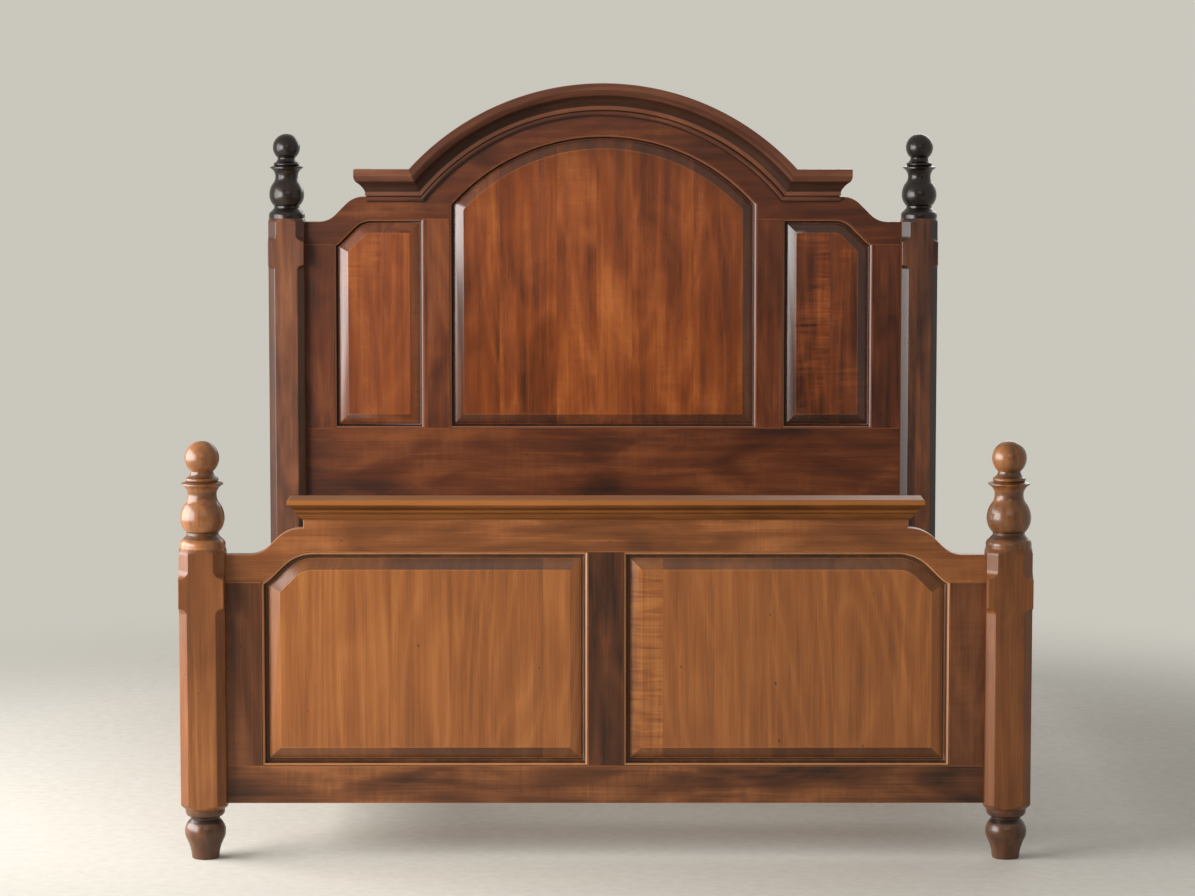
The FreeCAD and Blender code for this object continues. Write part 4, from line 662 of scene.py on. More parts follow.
# %% Headboard top rail
SIDE_HOLLOW, SIDE_ROUND = 57 * MM, 62 * MM
HEAD_SHOULDER = 35 * MM
HEAD_CREST_HOLLOW, HEAD_CREST_ROUND = 60 * MM, 62 * MM
HEAD_SHOULDER_RISE = 58 * MM
HEAD_CREST_RISE = 64 * MM
CROWN_SEAT_SETBACK = 160 * MM
CROWN_REVEAL = 3 * MM
CROWN_EAR_RISE = 70.5 * MM
CROWN_ARCH_RISE = 218 * MM
CROWN_EAR_LENGTH = 107.5 * MM
CENTRE_SPRING_RISE = 37.1 * MM


def arc_radius(half_chord, rise):
    return (half_chord ** 2 + rise ** 2) / (2 * rise)


corner = head_top_rail[0].z
shoulder = corner + HEAD_SHOULDER_RISE
crest = shoulder + HEAD_CREST_RISE
ear_top = crest + CROWN_EAR_RISE
crown_half = inner_x - CROWN_SEAT_SETBACK
arch_half = crown_half - CROWN_EAR_LENGTH
crown_radius = arc_radius(arch_half, CROWN_ARCH_RISE)
crown_centre = ear_top + CROWN_ARCH_RISE - crown_radius
spring = side_opening[1].z + CENTRE_SPRING_RISE
centre_half = centre_opening[1].x
opening_radius = arc_radius(centre_half, centre_opening[1].z - spring)
rail_radius = crown_radius - CROWN_REVEAL
rail_ear = ear_top - CROWN_REVEAL

pencil = Pencil(inner_x, corner)
start = pencil.tip
pencil.line(inner_x, shoulder)
draw_scoop(pencil, inner_x - HEAD_SHOULDER, shoulder, crest, 0, HEAD_CREST_HOLLOW, HEAD_CREST_ROUND)
pencil.line(crown_half, crest)
pencil.line(crown_half, rail_ear)
pencil.line(math.sqrt(rail_radius ** 2 - (rail_ear - crown_centre) ** 2), rail_ear)
pencil.arc(0, crown_centre + rail_radius, rail_radius, 1)
pencil.tip = start
pencil.line(side_opening[1].x, corner)
draw_scoop(pencil, side_opening[1].x, corner, side_opening[1].z, SCOOP_ANGLE, SIDE_HOLLOW, SIDE_ROUND)
pencil.line(centre_half, side_opening[1].z)
pencil.line(centre_half, spring)
pencil.arc(0, centre_opening[1].z, opening_radius, 1)
rails.append(cut_rail("headboard_top_rail", pencil, head_low_rail[0].y, red_rail, "red_brown_maple"))
report("shaped rails", rails)

# %% [markdown]
# ## Raised panels and their moulding
# A raised panel sits in grooves, with a wide bevel round a flat field. Between the frame and the bevel runs
# the sticking, a narrow moulding with a sloping facet, a small step and a hollow. Its seams are painted dark
# as joints, its step and hollow darker as painted shade, and its facet lighter, partly wear and partly a
# painted highlight. Both are rings that follow the opening's outline at a growing distance. Blender's inset
# tool could step inwards, but it moves each point along its own corner, and near the scooped corners the
# short arc edges would run over each other. So each ring is extruded from the last, and its vertices are put
# where the pencil draws the same outline at the new distance. That keeps the arcs round and the mitres true.

# %% Openings
STICKING_FOOT, BEVEL_FOOT = 14 * MM, 24 * MM
STICKING_HEAD, BEVEL_HEAD = 11 * MM, 26 * MM
ARCH_STEPS = 30


def scooped_opening(opening, corner, hollow, full):
    """A function that draws the opening at any distance inwards."""
    low, high = opening

    def draw(inset):
        pencil = Pencil(low.x + inset, low.z + inset)
        pencil.line(high.x - inset, low.z + inset)
        draw_scoop(pencil, high.x, corner, high.z, SCOOP_ANGLE, hollow, full, inset)
        pencil.line(low.x + inset, high.z - inset)
        return pencil
    return draw


def arched_opening(inset):
    low, high = centre_opening
    radius = opening_radius - inset
    middle = high.z - opening_radius
    level = middle + math.sqrt(radius ** 2 - (high.x - inset) ** 2)
    pencil = Pencil(low.x + inset, low.z + inset)
    pencil.line(high.x - inset, low.z + inset)
    pencil.line(high.x - inset, level)
    pencil.arc(0, high.z - inset, radius, 1, ARCH_STEPS)
    pencil.arc(low.x + inset, level, radius, 1, ARCH_STEPS)
    return pencil


# %% Rings that follow an outline
def grow(bm, face):
    """Extrudes one face and returns the new one, still in the old one's place, which is cleared if it is inside."""
    inside = any(len(edge.link_faces) > 1 for edge in face.edges)
    grown = bmesh.ops.extrude_face_region(bm, geom=[face])["geom"]
    if inside:
        bmesh.ops.delete(bm, geom=[face], context="FACES_ONLY")
    return [item for item in grown if isinstance(item, bmesh.types.BMFace)][0]


def mark_ring(face, tone, mark):
    """Gives the ring of faces round a face its tone."""
    for edge in face.edges:
        for beside in edge.link_faces:
            if beside is not face:
                beside[tone] = mark


def stack_rings(draw, levels):
    """A solid of rings: levels are (distance inwards, y, tone of the way to it), the first at the back."""
    pencil = draw(0)
    bm = pencil.bm
    seat = bm.verts.layers.int.new("seat")
    bm.verts.ensure_lookup_table()
    for index, vertex in enumerate(bm.verts):
        vertex[seat] = index
    bm.edges.new((bm.verts[0], bm.verts[-1]))
    face = back_face = bmesh.ops.contextual_create(bm, geom=bm.edges)["faces"][0]
    tone = tone_layer(bm)
    for number, (inset, y, mark) in enumerate(levels):
        if number:
            face = grow(bm, face)
        outline = draw(inset).bm
        places = [vertex.co.copy() for vertex in outline.verts]
        outline.free()
        for vertex in face.verts:
            vertex.co = places[vertex[seat]]
            vertex.co.y = y
        if number:
            mark_ring(face, tone, mark)
    return bm, face, back_face


# %% Section of the sticking
REVEAL = 1 * MM
TONGUE_SETBACK = 14.2 * MM
TONGUE = 6 * MM
FIELD_SETBACK = 3 * MM
SEAM_WIDTH, SEAM_DEPTH = 0.8 * MM, 1.2 * MM
FACET_WIDTH, FACET_DROP, FACET_EASE = 4.0 * MM, 2.4 * MM, 0.6 * MM
STEP_DROP = 1.3 * MM
FOOT_SEAM = 1.2 * MM
# Marks of the sticking: dark seams as joints, step and hollow darker as painted shade, facet lighter as wear and a
# painted highlight.
DARK_SEAM_AND_SHADE, HOLLOW_PAINTED_SHADE, FACET_RUB_AND_HIGHLIGHT = -0.95, -0.5, 0.45


def sticking_section(width):
    """From the frame inwards: a dark seam, a facet that slopes in, a small step, a hollow and a dark seam; step and
    hollow darker as painted shade, facet lighter as wear and painted highlight.
    """
    section = [(0, REVEAL, 0), (SEAM_WIDTH * 0.4, REVEAL + SEAM_DEPTH, DARK_SEAM_AND_SHADE),
               (SEAM_WIDTH, REVEAL + FACET_EASE, DARK_SEAM_AND_SHADE), (SEAM_WIDTH + FACET_EASE, REVEAL, FACET_RUB_AND_HIGHLIGHT)]
    edge, edge_depth = SEAM_WIDTH + FACET_EASE + FACET_WIDTH, REVEAL + FACET_DROP
    section += [(edge, edge_depth, FACET_RUB_AND_HIGHLIGHT), (edge + FACET_EASE * 0.5, edge_depth + FACET_EASE, 0)]
    start, hollow_top = edge + FACET_EASE * 0.6, edge_depth + STEP_DROP
    section.append((start, hollow_top, DARK_SEAM_AND_SHADE))
    run = width - FOOT_SEAM - start
    drop = TONGUE_SETBACK - hollow_top
    for angle in (18, 36, 54, 72, 88):
        turn = math.radians(angle)
        section.append((start + run * (1 - math.cos(turn)), hollow_top + drop * math.sin(turn), HOLLOW_PAINTED_SHADE))
    section.append((width, TONGUE_SETBACK, DARK_SEAM_AND_SHADE))
    return section


# %% Making the sticking
def make_sticking(node, draw, front, width, material, slot, flip=False):
    """The moulding's rings from its flat back, with the two end faces taken out and the back closed."""
    levels = [(0, front + TONGUE_SETBACK, 0)]
    levels += [(inset, front + setback, mark) for inset, setback, mark in sticking_section(width)]
    bm, inner_face, back_face = stack_rings(draw, levels)
    loops = list(inner_face.edges) + list(back_face.edges)
    bmesh.ops.delete(bm, geom=[inner_face, back_face], context="FACES_ONLY")
    bmesh.ops.bridge_loops(bm, edges=loops)
    if flip:
        bmesh.ops.scale(bm, vec=(-1, 1, 1), verts=bm.verts)
    return place_piece(node, bm, material, slot)


# %% Making the panels
ARRIS = 1.3 * MM
END_GRAIN = 0.62
LOW_EDGE = 1.0 * MM
# The panel's edge under the moulding is painted dark, a painted shade; the bevel's low edge and the field's arris are
# painted lighter, partly wear and partly a painted highlight.
HIDDEN_EDGE_SHADE, LOW_EDGE_RUB_AND_HIGHLIGHT, ARRIS_RUB_AND_HIGHLIGHT = -0.9, 0.1, 0.2
BEVEL_MARK = 0.01
# The head panels' bevels are darkened all round: partly glaze, partly painted shade.
HEAD_BEVEL_GLAZE_AND_SHADE = 0.42


def make_panel(node, draw, front, sticking, bevel, material, slot, flip=False, bevel_glaze_and_shade=0.0):
    """A slab with a hidden edge under the moulding, a bevel and a raised field; the last argument darkens the whole
    bevel, partly glaze and partly painted shade.
    """
    slope = (TONGUE_SETBACK - FIELD_SETBACK) / bevel
    low, high = front + TONGUE_SETBACK, front + FIELD_SETBACK
    levels = [
        (0, low + TONGUE, 0), (0, low, 0), (sticking, low, HIDDEN_EDGE_SHADE),
        (sticking + LOW_EDGE, low - LOW_EDGE * slope, LOW_EDGE_RUB_AND_HIGHLIGHT),
        (sticking + bevel - ARRIS, high + ARRIS * slope * 0.6, BEVEL_MARK),
        (sticking + bevel, high, ARRIS_RUB_AND_HIGHLIGHT),
    ]
    bm = stack_rings(draw, levels)[0]
    tone = tone_layer(bm)
    for face in bm.faces:
        if abs(face[tone] - BEVEL_MARK) < BEVEL_MARK / 2:
            face.normal_update()
            face[tone] = -max(END_GRAIN * min(abs(face.normal.z) * 2.2, 1), bevel_glaze_and_shade)
    if flip:
        bmesh.ops.scale(bm, vec=(-1, 1, 1), verts=bm.verts)
    return place_piece(node, bm, material, slot)


# %% Panels of both boards
foot_front = foot_low_rail[0].y
head_front = head_low_rail[0].y
foot_corner = foot_top_rail[0].z
head_corner = head_top_rail[0].z
panels = []
for side in SIDES:
    flip = side == "left"
    foot = (foot_opening, foot_corner, FOOT_HOLLOW, FOOT_ROUND)
    head = (side_opening, head_corner, SIDE_HOLLOW, SIDE_ROUND)
    panels += [
        make_panel(f"footboard_panel_{side}", scooped_opening(*foot), foot_front, STICKING_FOOT, BEVEL_FOOT,
                   honey_panel, "honey_panel", flip),
        make_sticking(f"footboard_moulding_{side}", scooped_opening(*foot), foot_front, STICKING_FOOT,
                      honey_sticking, "umber_maple", flip),
        make_panel(f"headboard_side_panel_{side}", scooped_opening(*head), head_front, STICKING_HEAD, BEVEL_HEAD,
                   red_side_panel, "red_brown_panel", flip, HEAD_BEVEL_GLAZE_AND_SHADE),
        make_sticking(f"headboard_side_moulding_{side}", scooped_opening(*head), head_front, STICKING_HEAD,
                      red_sticking, "red_brown_maple", flip),
    ]
panels += [
    make_panel("headboard_centre_panel", arched_opening, head_front, STICKING_HEAD, BEVEL_HEAD,
               red_centre_panel, "red_brown_panel", bevel_glaze_and_shade=HEAD_BEVEL_GLAZE_AND_SHADE),
    make_sticking("headboard_centre_moulding", arched_opening, head_front, STICKING_HEAD, red_sticking,
                  "red_brown_maple"),
]
report("panels and mouldings", panels)

# %% [markdown]
# ## Posts
# A post is a square turning blank with its corners chamfered. The chamfers stop, in a short scoop, at a
# square block below the top, and both ends are turned down to a round shoulder. It is made as a stack of
# rings: each ring is extruded from the last and its vertices are put back on the post's section at that
# height, an octagon whose chamfer grows or shrinks, cut back to a circle near the ends.

# %% Section of a post
POST_HALF = (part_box("footboard_post_right")[1].x - inner_x) / 2
POST_EASE = 1.4 * MM
FACE_ANGLES = (-20, -10, 0, 10, 20)


def post_corner(chamfer):
    """The points from one face to the next: an eased corner, the chamfer and another eased corner."""
    half = POST_HALF
    ease = min(1.1 * MM, chamfer * 0.35)
    before = Vector((half, half - chamfer - ease))
    edge = Vector((half, half - chamfer))
    after = Vector((half - ease * DIAGONAL, half - chamfer + ease * DIAGONAL))
    first = [before, (before + edge * 2 + after) / 4, after]
    middle = Vector((half - chamfer / 2, half - chamfer / 2))
    return first + [middle] + [point.yx for point in reversed(first)]


def post_section(chamfer, reach):
    """All the points of a ring. No point is further than reach from the post's axis."""
    face = [Vector((POST_HALF, POST_HALF * math.tan(math.radians(angle)))) for angle in FACE_ANGLES]
    quarter = face + post_corner(chamfer)
    points = []
    for turn in range(4):
        rotation = Matrix.Rotation(math.pi / 2 * turn, 2)
        points += [rotation @ point for point in quarter]
    return [point * min(1, reach / point.length) for point in points]


# %% Heights of the rings
BLOCK_DROP, BLOCK_HEIGHT = 60 * MM, 58 * MM
UPPER_CHAMFER, LOWER_CHAMFER = 20.5 * MM, 17 * MM
UPPER_STOP, LOWER_STOP = 18 * MM, 12 * MM
TOP_RADIUS, TOP_SHOULDER = 46 * MM, 12 * MM
BASE_RADIUS, BASE_SHOULDER = 41 * MM, 11 * MM
RUN_OUT = 54 * MM
FREE = 1.0


def stop_chamfer(full, length, height):
    """Leg of the chamfer at a height above the block, where the chamfer's scooped end begins."""
    depth = full * DIAGONAL
    radius = (depth ** 2 + length ** 2) / (depth * 2)
    left = depth - radius + math.sqrt(radius ** 2 - (length - height) ** 2)
    return max(left / DIAGONAL, POST_EASE)


def post_rings(bottom, top):
    """(height, chamfer, reach) of every ring from the foot to the finial."""
    block_top = top - BLOCK_DROP
    block_bottom = block_top - BLOCK_HEIGHT
    rings = []
    for share in [step / 8 for step in range(9)]:
        rings.append((bottom + BASE_SHOULDER * share, LOWER_CHAMFER, BASE_RADIUS + (RUN_OUT - BASE_RADIUS) * share))
    for share in [step / 8 for step in range(9)]:
        below = LOWER_STOP * (1 - share)
        rings.append((block_bottom - below, stop_chamfer(LOWER_CHAMFER, LOWER_STOP, below), FREE))
    for share in [step / 8 for step in range(9)]:
        above = UPPER_STOP * share
        rings.append((block_top + above, stop_chamfer(UPPER_CHAMFER, UPPER_STOP, above), FREE))
    for share in [step / 8 for step in range(9)]:
        height = top - TOP_SHOULDER * (1 - share)
        rings.append((height, UPPER_CHAMFER, RUN_OUT + (TOP_RADIUS - RUN_OUT) * share))
    return rings


# %% Making the posts
def make_post(node, material, slot, chamfer_tone=0.0):
    low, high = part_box(node)
    axis = (low + high) / 2
    rings = post_rings(low.z, high.z)
    bm = bmesh.new()
    count = len(post_section(UPPER_CHAMFER, FREE))
    seat = bm.verts.layers.int.new("seat")
    bmesh.ops.create_circle(bm, cap_ends=True, segments=count, radius=POST_HALF)
    for index, vertex in enumerate(bm.verts):
        vertex[seat] = index
    top_face = bm.faces[:][0]
    for number, (height, chamfer, reach) in enumerate(rings):
        if number:
            top_face = grow(bm, top_face)
        section = post_section(chamfer, reach)
        for vertex in top_face.verts:
            point = section[vertex[seat]]
            vertex.co = (axis.x + point.x, axis.y + point.y, height)
    tone = tone_layer(bm)
    for face in bm.faces:
        face.normal_update()
        if min(abs(face.normal.x), abs(face.normal.y)) > DIAGONAL / 2:
            face[tone] = chamfer_tone
    return place_piece(node, bm, material, slot)


# The head posts' chamfers are painted darker, a painted shade.
CHAMFER_PAINTED_SHADE = -0.55
posts = []
for side in SIDES:
    posts += [make_post(f"footboard_post_{side}", honey_post, "honey_maple"),
              make_post(f"headboard_post_{side}", red_post, "red_brown_maple", CHAMFER_PAINTED_SHADE)]
report("posts", posts)

# %% [markdown]
# ## Turned finials and feet
# Finials and feet come off a lathe, so half of their outline is drawn from the axis out and spun once round.
# The finial is a ring, a vase, a thin collar and a ball; the foot is a bulb on a narrow ankle.


# %% Lathe
TURNS = 72


def turn_on_lathe(node, pencil, axis, base, material, slot, body="bed", glaze_and_shade_bands=()):
    """Spins a profile about the axis. The last argument lists (low, high, tone) bands of height that are darker: glaze
    and painted shade in the grooves.
    """
    bm = pencil.bm
    profile = bm.verts[:] + bm.edges[:]
    bmesh.ops.spin(bm, geom=profile, cent=(0, 0, 0), axis=(0, 0, 1), angle=math.tau, steps=TURNS, use_merge=True)
    bmesh.ops.remove_doubles(bm, verts=bm.verts, dist=SAME_PLACE)
    tone = tone_layer(bm)
    for face in bm.faces:
        height = face.calc_center_median().z
        face[tone] = sum(mark for low, high, mark in glaze_and_shade_bands if low * MM <= height <= high * MM)
    bmesh.ops.translate(bm, verts=bm.verts, vec=(axis.x, axis.y, base))
    return place_piece(node, bm, material, slot, body)


def upright_arc(sideways, upward):
    """Radius of an arc that starts upright and moves sideways by one length over the other."""
    return (sideways ** 2 + upward ** 2) / (2 * sideways) * MM


# %% Finial profile
BALL, BALL_HEIGHT, THROAT = 34.6, 180, 22.5


def finial_profile():
    pencil = Pencil(0, 0)
    pencil.line(46 * MM, 0)
    pencil.line(46 * MM, 7 * MM)
    pencil.arc(39.3 * MM, 18 * MM, 13 * MM, 1)
    pencil.line(32.3 * MM, 26 * MM)
    pencil.line(32.3 * MM, 31 * MM)
    pencil.arc(44.5 * MM, 59 * MM, upright_arc(44.5 - 32.3, 59 - 31), 1)
    pencil.arc(36.6 * MM, 87 * MM, upright_arc(44.5 - 36.6, 87 - 59), 1)
    pencil.arc(28.8 * MM, 106 * MM, upright_arc(36.6 - 28.8, 106 - 87), -1)
    pencil.arc(42 * MM, 127.5 * MM, upright_arc(42 - 28.8, 127.5 - 106), -1)
    pencil.line(42 * MM, 130.1 * MM)
    pencil.line(31 * MM, 134 * MM)
    pencil.arc(31 * MM, 141 * MM, 4 * MM, 1)
    pencil.arc(THROAT * MM, (BALL_HEIGHT - math.sqrt(BALL ** 2 - THROAT ** 2)) * MM, 14 * MM, -1)
    pencil.arc(0, (BALL_HEIGHT + BALL) * MM, BALL * MM, 1)
    return pencil


# %% Foot profile
def foot_profile(height):
    pencil = Pencil(0, 0)
    pencil.line(25 * MM, 0)
    pencil.arc(27.6 * MM, 3 * MM, 3 * MM, 1)
    pencil.arc(36.7 * MM, 38 * MM, 91 * MM, -1)
    pencil.arc(41.5 * MM, 55 * MM, upright_arc(41.5 - 36.7, 55 - 38), 1)
    pencil.arc(35.7 * MM, 74 * MM, upright_arc(41.5 - 35.7, 74 - 55), 1)
    pencil.line(29.5 * MM, 81 * MM)
    pencil.line(29.5 * MM, 85 * MM)
    pencil.arc(40 * MM, 97 * MM, 12 * MM, 1)
    pencil.line(40 * MM, height)
    pencil.line(0, height)
    return pencil


# %% Turning them
# Bands darker in the grooves, throats and neck of the finials and feet: partly glaze, partly painted shade.
FINIAL_GLAZE_AND_SHADE = ((19, 33, -0.7), (99, 112, -0.35), (130, 134, -0.5), (141, 154, -0.6))
FOOT_GLAZE_AND_SHADE = ((36.5, 39, -0.5), (74, 87, -0.8))
turned = []
for board, finial_wood, finial_slot, foot_wood in (
        ("footboard", honey_turned, "honey_maple", umber_turned),
        ("headboard", ebony_turned, "ebonised_maple", umber_turned)):
    for side in SIDES:
        low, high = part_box(f"{board}_finial_{side}")
        axis = (low + high) / 2
        turned.append(turn_on_lathe(f"{board}_finial_{side}", finial_profile(), axis, low.z, finial_wood,
                                    finial_slot, glaze_and_shade_bands=FINIAL_GLAZE_AND_SHADE))
        low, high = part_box(f"{board}_foot_{side}")
        turned.append(turn_on_lathe(f"{board}_foot_{side}", foot_profile(high.z), axis, low.z, foot_wood,
                                    "umber_maple", glaze_and_shade_bands=FOOT_GLAZE_AND_SHADE))
report("turned pieces", turned)

# %% [markdown]
# ## Cap of the footboard
# The cap is a slab with a rounded nose on a two-stepped bead. Seen from above both are rectangles that grow
# and shrink with the height, so each is a stack of rectangles, extruded level by level.


# %% Stacked slabs
def make_slab(node, levels, material, slot):
    """levels are (height, overhang, tone) from the bottom up, the overhang beyond the seat on all sides."""
    low_y, high_y = foot_low_rail[0].y, foot_low_rail[1].y
    middle_y = (low_y + high_y) / 2
    bm = bmesh.new()
    tone = tone_layer(bm)
    bmesh.ops.create_grid(bm, x_segments=1, y_segments=1, size=1)
    bmesh.ops.translate(bm, verts=bm.verts, vec=(0, middle_y, 0))
    top_face = bm.faces[:][0]
    for number, (height, overhang, mark) in enumerate(levels):
        if number:
            top_face = grow(bm, top_face)
            mark_ring(top_face, tone, mark)
        for vertex in top_face.verts:
            vertex.co.x = math.copysign(seat_half + overhang, vertex.co.x)
            vertex.co.y = middle_y + math.copysign((high_y - low_y) / 2 + overhang, vertex.co.y - middle_y)
            vertex.co.z = height
    # The top face is painted lighter, a painted light on the lit top.
    top_face[tone] = 0.3
    return place_piece(node, bm, material, slot)


def rounded(start_height, start_overhang, radius, first, last, tone=0.0):
    """Levels round an edge: its centre is given, and angles run from level 0 up to 90 degrees."""
    levels = []
    for step in range(6):
        turn = math.radians(first + (last - first) * step / 5)
        levels.append((start_height + radius * math.sin(turn), start_overhang + radius * math.cos(turn), tone))
    return levels


# %% Cap bead and cap
seat = foot_top_rail[1].z
bead_top = seat + 20 * MM
step_top = seat + 11 * MM
cap_top = bead_top + 22 * MM
NOSE_ROUND = 4 * MM
CAP_OVERHANG = 31 * MM
# Tones of the cap bead and cap: tops of the steps and the nose painted lighter, a painted light; the dark lines under
# the steps and the nose are painted shade.
cap_bead = [(seat, 4 * MM, 0), (seat + 2 * MM, 5 * MM, -0.5),
            (step_top - 3 * MM, 9.5 * MM, 0), (step_top - 1 * MM, 12 * MM, 0.2), (step_top, 12 * MM, 0.3),
            (step_top + 0.2 * MM, 12.6 * MM, -0.9), (step_top + 1.2 * MM, 13.2 * MM, -0.9),
            (bead_top - 4 * MM, 15.5 * MM, 0), (bead_top - 1.2 * MM, 17 * MM, 0.2), (bead_top, 17 * MM, 0.2)]
cap = [(bead_top, 16 * MM, 0), (bead_top + 0.6 * MM, 16.5 * MM, -0.9), (bead_top + 6 * MM, 24 * MM, -0.2)]
cap += rounded(bead_top + 12 * MM, CAP_OVERHANG - NOSE_ROUND, NOSE_ROUND, -90, 0)
cap += rounded(cap_top - NOSE_ROUND, CAP_OVERHANG - NOSE_ROUND, NOSE_ROUND, 0, 90, 0.5)
cap_pieces = [make_slab("footboard_cap_bead", cap_bead, honey_cap, "honey_maple"),
              make_slab("footboard_cap", cap, honey_cap, "honey_maple")]
report("cap", cap_pieces)

# %% [markdown]
# ## Crown and bead of the headboard
# Two mouldings follow the top of the headboard: level ears at both ends and an arch between them, mitred
# where they meet, and returned along the end of the rail. A moulding is its section carried along a path.
# The section is drawn once, with the projection across and the height up, and both are stored on its
# vertices. Each extrusion puts the new vertices where the next station wants that projection and height.


# %% Sections
def store_section(pencil):
    """Closes the section and stores each vertex's projection and height."""
    bm = pencil.bm
    projection = bm.verts.layers.float.new("projection")
    height = bm.verts.layers.float.new("height")
    face = pencil.closed_face()
    for vertex in bm.verts:
        vertex[projection] = vertex.co.x
        vertex[height] = vertex.co.z
    return bm, face


CROWN_HEIGHT, CROWN_PROJECTION, CROWN_FOOT = 58 * MM, 38 * MM, 11 * MM
CROWN_LIP, CROWN_ROUND, CROWN_HOLLOW = 17 * MM, 24 * MM, 60 * MM
CROWN_TURN = math.radians(40)
CROWN_EASE = 1.5 * MM


def crown_section():
    round_top = CROWN_HEIGHT - CROWN_LIP
    round_low_x = CROWN_PROJECTION - CROWN_ROUND * (1 - math.cos(CROWN_TURN))
    pencil = Pencil(0, 0)
    pencil.line(CROWN_FOOT - 1 * MM, 0)
    pencil.line(CROWN_FOOT, 1 * MM)
    pencil.line(CROWN_FOOT, 3 * MM)
    pencil.arc(round_low_x, round_top - CROWN_ROUND * math.sin(CROWN_TURN), CROWN_HOLLOW, -1)
    pencil.arc(CROWN_PROJECTION, round_top, CROWN_ROUND, 1)
    pencil.line(CROWN_PROJECTION, CROWN_HEIGHT - CROWN_EASE)
    pencil.line(CROWN_PROJECTION - CROWN_EASE, CROWN_HEIGHT)
    pencil.line(0, CROWN_HEIGHT)
    pencil.line(0, 0)
    return pencil


BEAD_HEIGHT, BEAD_PROJECTION, BEAD_SET_IN = 26 * MM, 10 * MM, 3 * MM
BEAD_ROUND_HEIGHT, BEAD_ROUND = 15 * MM, 8.5 * MM


def bead_section():
    inner = BEAD_PROJECTION - BEAD_SET_IN
    pencil = Pencil(0, 0)
    pencil.line(inner - 2 * MM, 0)
    pencil.line(inner - 2 * MM, 3 * MM)
    pencil.line(inner, 3.4 * MM)
    pencil.arc(inner, BEAD_ROUND_HEIGHT, BEAD_ROUND - 1.5 * MM, 1)
    pencil.line(inner - 1.5 * MM, BEAD_ROUND_HEIGHT + 0.6 * MM)
    pencil.line(BEAD_PROJECTION, BEAD_ROUND_HEIGHT + 1.6 * MM)
    pencil.line(BEAD_PROJECTION, BEAD_HEIGHT)
    pencil.line(0, BEAD_HEIGHT)
    pencil.line(0, 0)
    return pencil


# %% Carrying a section along a path
def carry(section, stations):
    """Extrudes the section from station to station. A station turns (projection, height) into a place."""
    bm, face = store_section(section)
    projection = bm.verts.layers.float["projection"]
    height = bm.verts.layers.float["height"]
    for number, station in enumerate(stations):
        if number:
            face = grow(bm, face)
        for vertex in face.verts:
            vertex.co = station(vertex[projection], vertex[height])
    return bm


ARCH_STATIONS = 84
END_STEP = 5 * MM


class Moulding:
    """One moulding of the headboard: its radius and height at the top, and its depth."""

    def __init__(self, radius, top, depth):
        self.radius, self.top, self.depth = radius, top, depth
        self.mitre_top = self.on_arc(radius, top)
        self.mitre_low = self.on_arc(radius - depth, top - depth)

    def on_arc(self, radius, level):
        return math.sqrt(radius ** 2 - (level - crown_centre) ** 2)

    def mitre(self, side):
        """The station on the joint between arch and ear."""
        def station(projection, height):
            share = height / self.depth
            x = self.mitre_low + (self.mitre_top - self.mitre_low) * share
            return (side * x, head_front - projection, self.top - self.depth + height)
        return station

    def along_arch(self, share):
        def station(projection, height):
            end = self.mitre(1)(projection, height)
            reach = self.radius - self.depth + height
            turn = math.atan2(end[0], end[2] - crown_centre) * share
            return (reach * math.sin(turn), head_front - projection, crown_centre + reach * math.cos(turn))
        return station

    def end(self, side, y):
        """The station at the corner, where y is None, or further back on the return."""
        def station(projection, height):
            x = crown_half - END_STEP + projection
            front = head_front - projection if y is None else y
            return (side * x, front, self.top - self.depth + height)
        return station

    def arch(self, section):
        shares = [2 * step / ARCH_STATIONS - 1 for step in range(1, ARCH_STATIONS)]
        stations = [self.mitre(-1), *[self.along_arch(share) for share in shares], self.mitre(1)]
        return carry(section, stations)

    def ear(self, section, side):
        back = head_front + BOARD
        return carry(section, [self.mitre(side), self.end(side, None), self.end(side, back)])


# %% Painted light and shade on the mouldings
def paint_section_light_and_shade(bm, tone_of):
    """Marks each face by the mean height and projection of its section, for painted light and shade."""
    projection = bm.verts.layers.float["projection"]
    height = bm.verts.layers.float["height"]
    tone = tone_layer(bm)
    for face in bm.faces:
        count = len(face.verts)
        mean_projection = sum(vertex[projection] for vertex in face.verts) / count
        mean_height = sum(vertex[height] for vertex in face.verts) / count
        face[tone] = tone_of(mean_projection / MM, mean_height / MM)


# Lighter on the top and the lip, darker in the hollow underneath: painted light and painted shade, by height.
def crown_painted_light_and_shade(projection, height):
    if projection < 6 or height < 2:
        return 0
    if height > 56:
        return 0.35
    if height > 41:
        return 0.08
    return -0.75 if height < 27 else -0.25


# Dark in the joint at the bottom and the groove under the fascia, lighter on the fascia: painted shade and painted
# light.
def bead_painted_light_and_shade(projection, height):
    if height < 3.2 or 14.9 < height < 16.5:
        return -0.9
    return 0.15 if height > 16.5 else -0.1


# %% Making the mouldings
crown = Moulding(crown_radius, ear_top, CROWN_HEIGHT)
bead = Moulding(crown_radius - CROWN_HEIGHT, ear_top - CROWN_HEIGHT, BEAD_HEIGHT)
headwork = []
for moulding, section, tone_of, name in ((crown, crown_section, crown_painted_light_and_shade, "crown"),
                                         (bead, bead_section, bead_painted_light_and_shade, "bead")):
    bm = moulding.arch(section())
    paint_section_light_and_shade(bm, tone_of)
    headwork.append(place_piece(f"{name}_arch", bm, dark_arch, "dark_maple"))
    for side, sign in zip(SIDES, (-1, 1)):
        bm = moulding.ear(section(), sign)
        paint_section_light_and_shade(bm, tone_of)
        headwork.append(place_piece(f"{name}_ear_{side}", bm, dark_ear, "dark_maple"))
report("crown and bead", headwork)

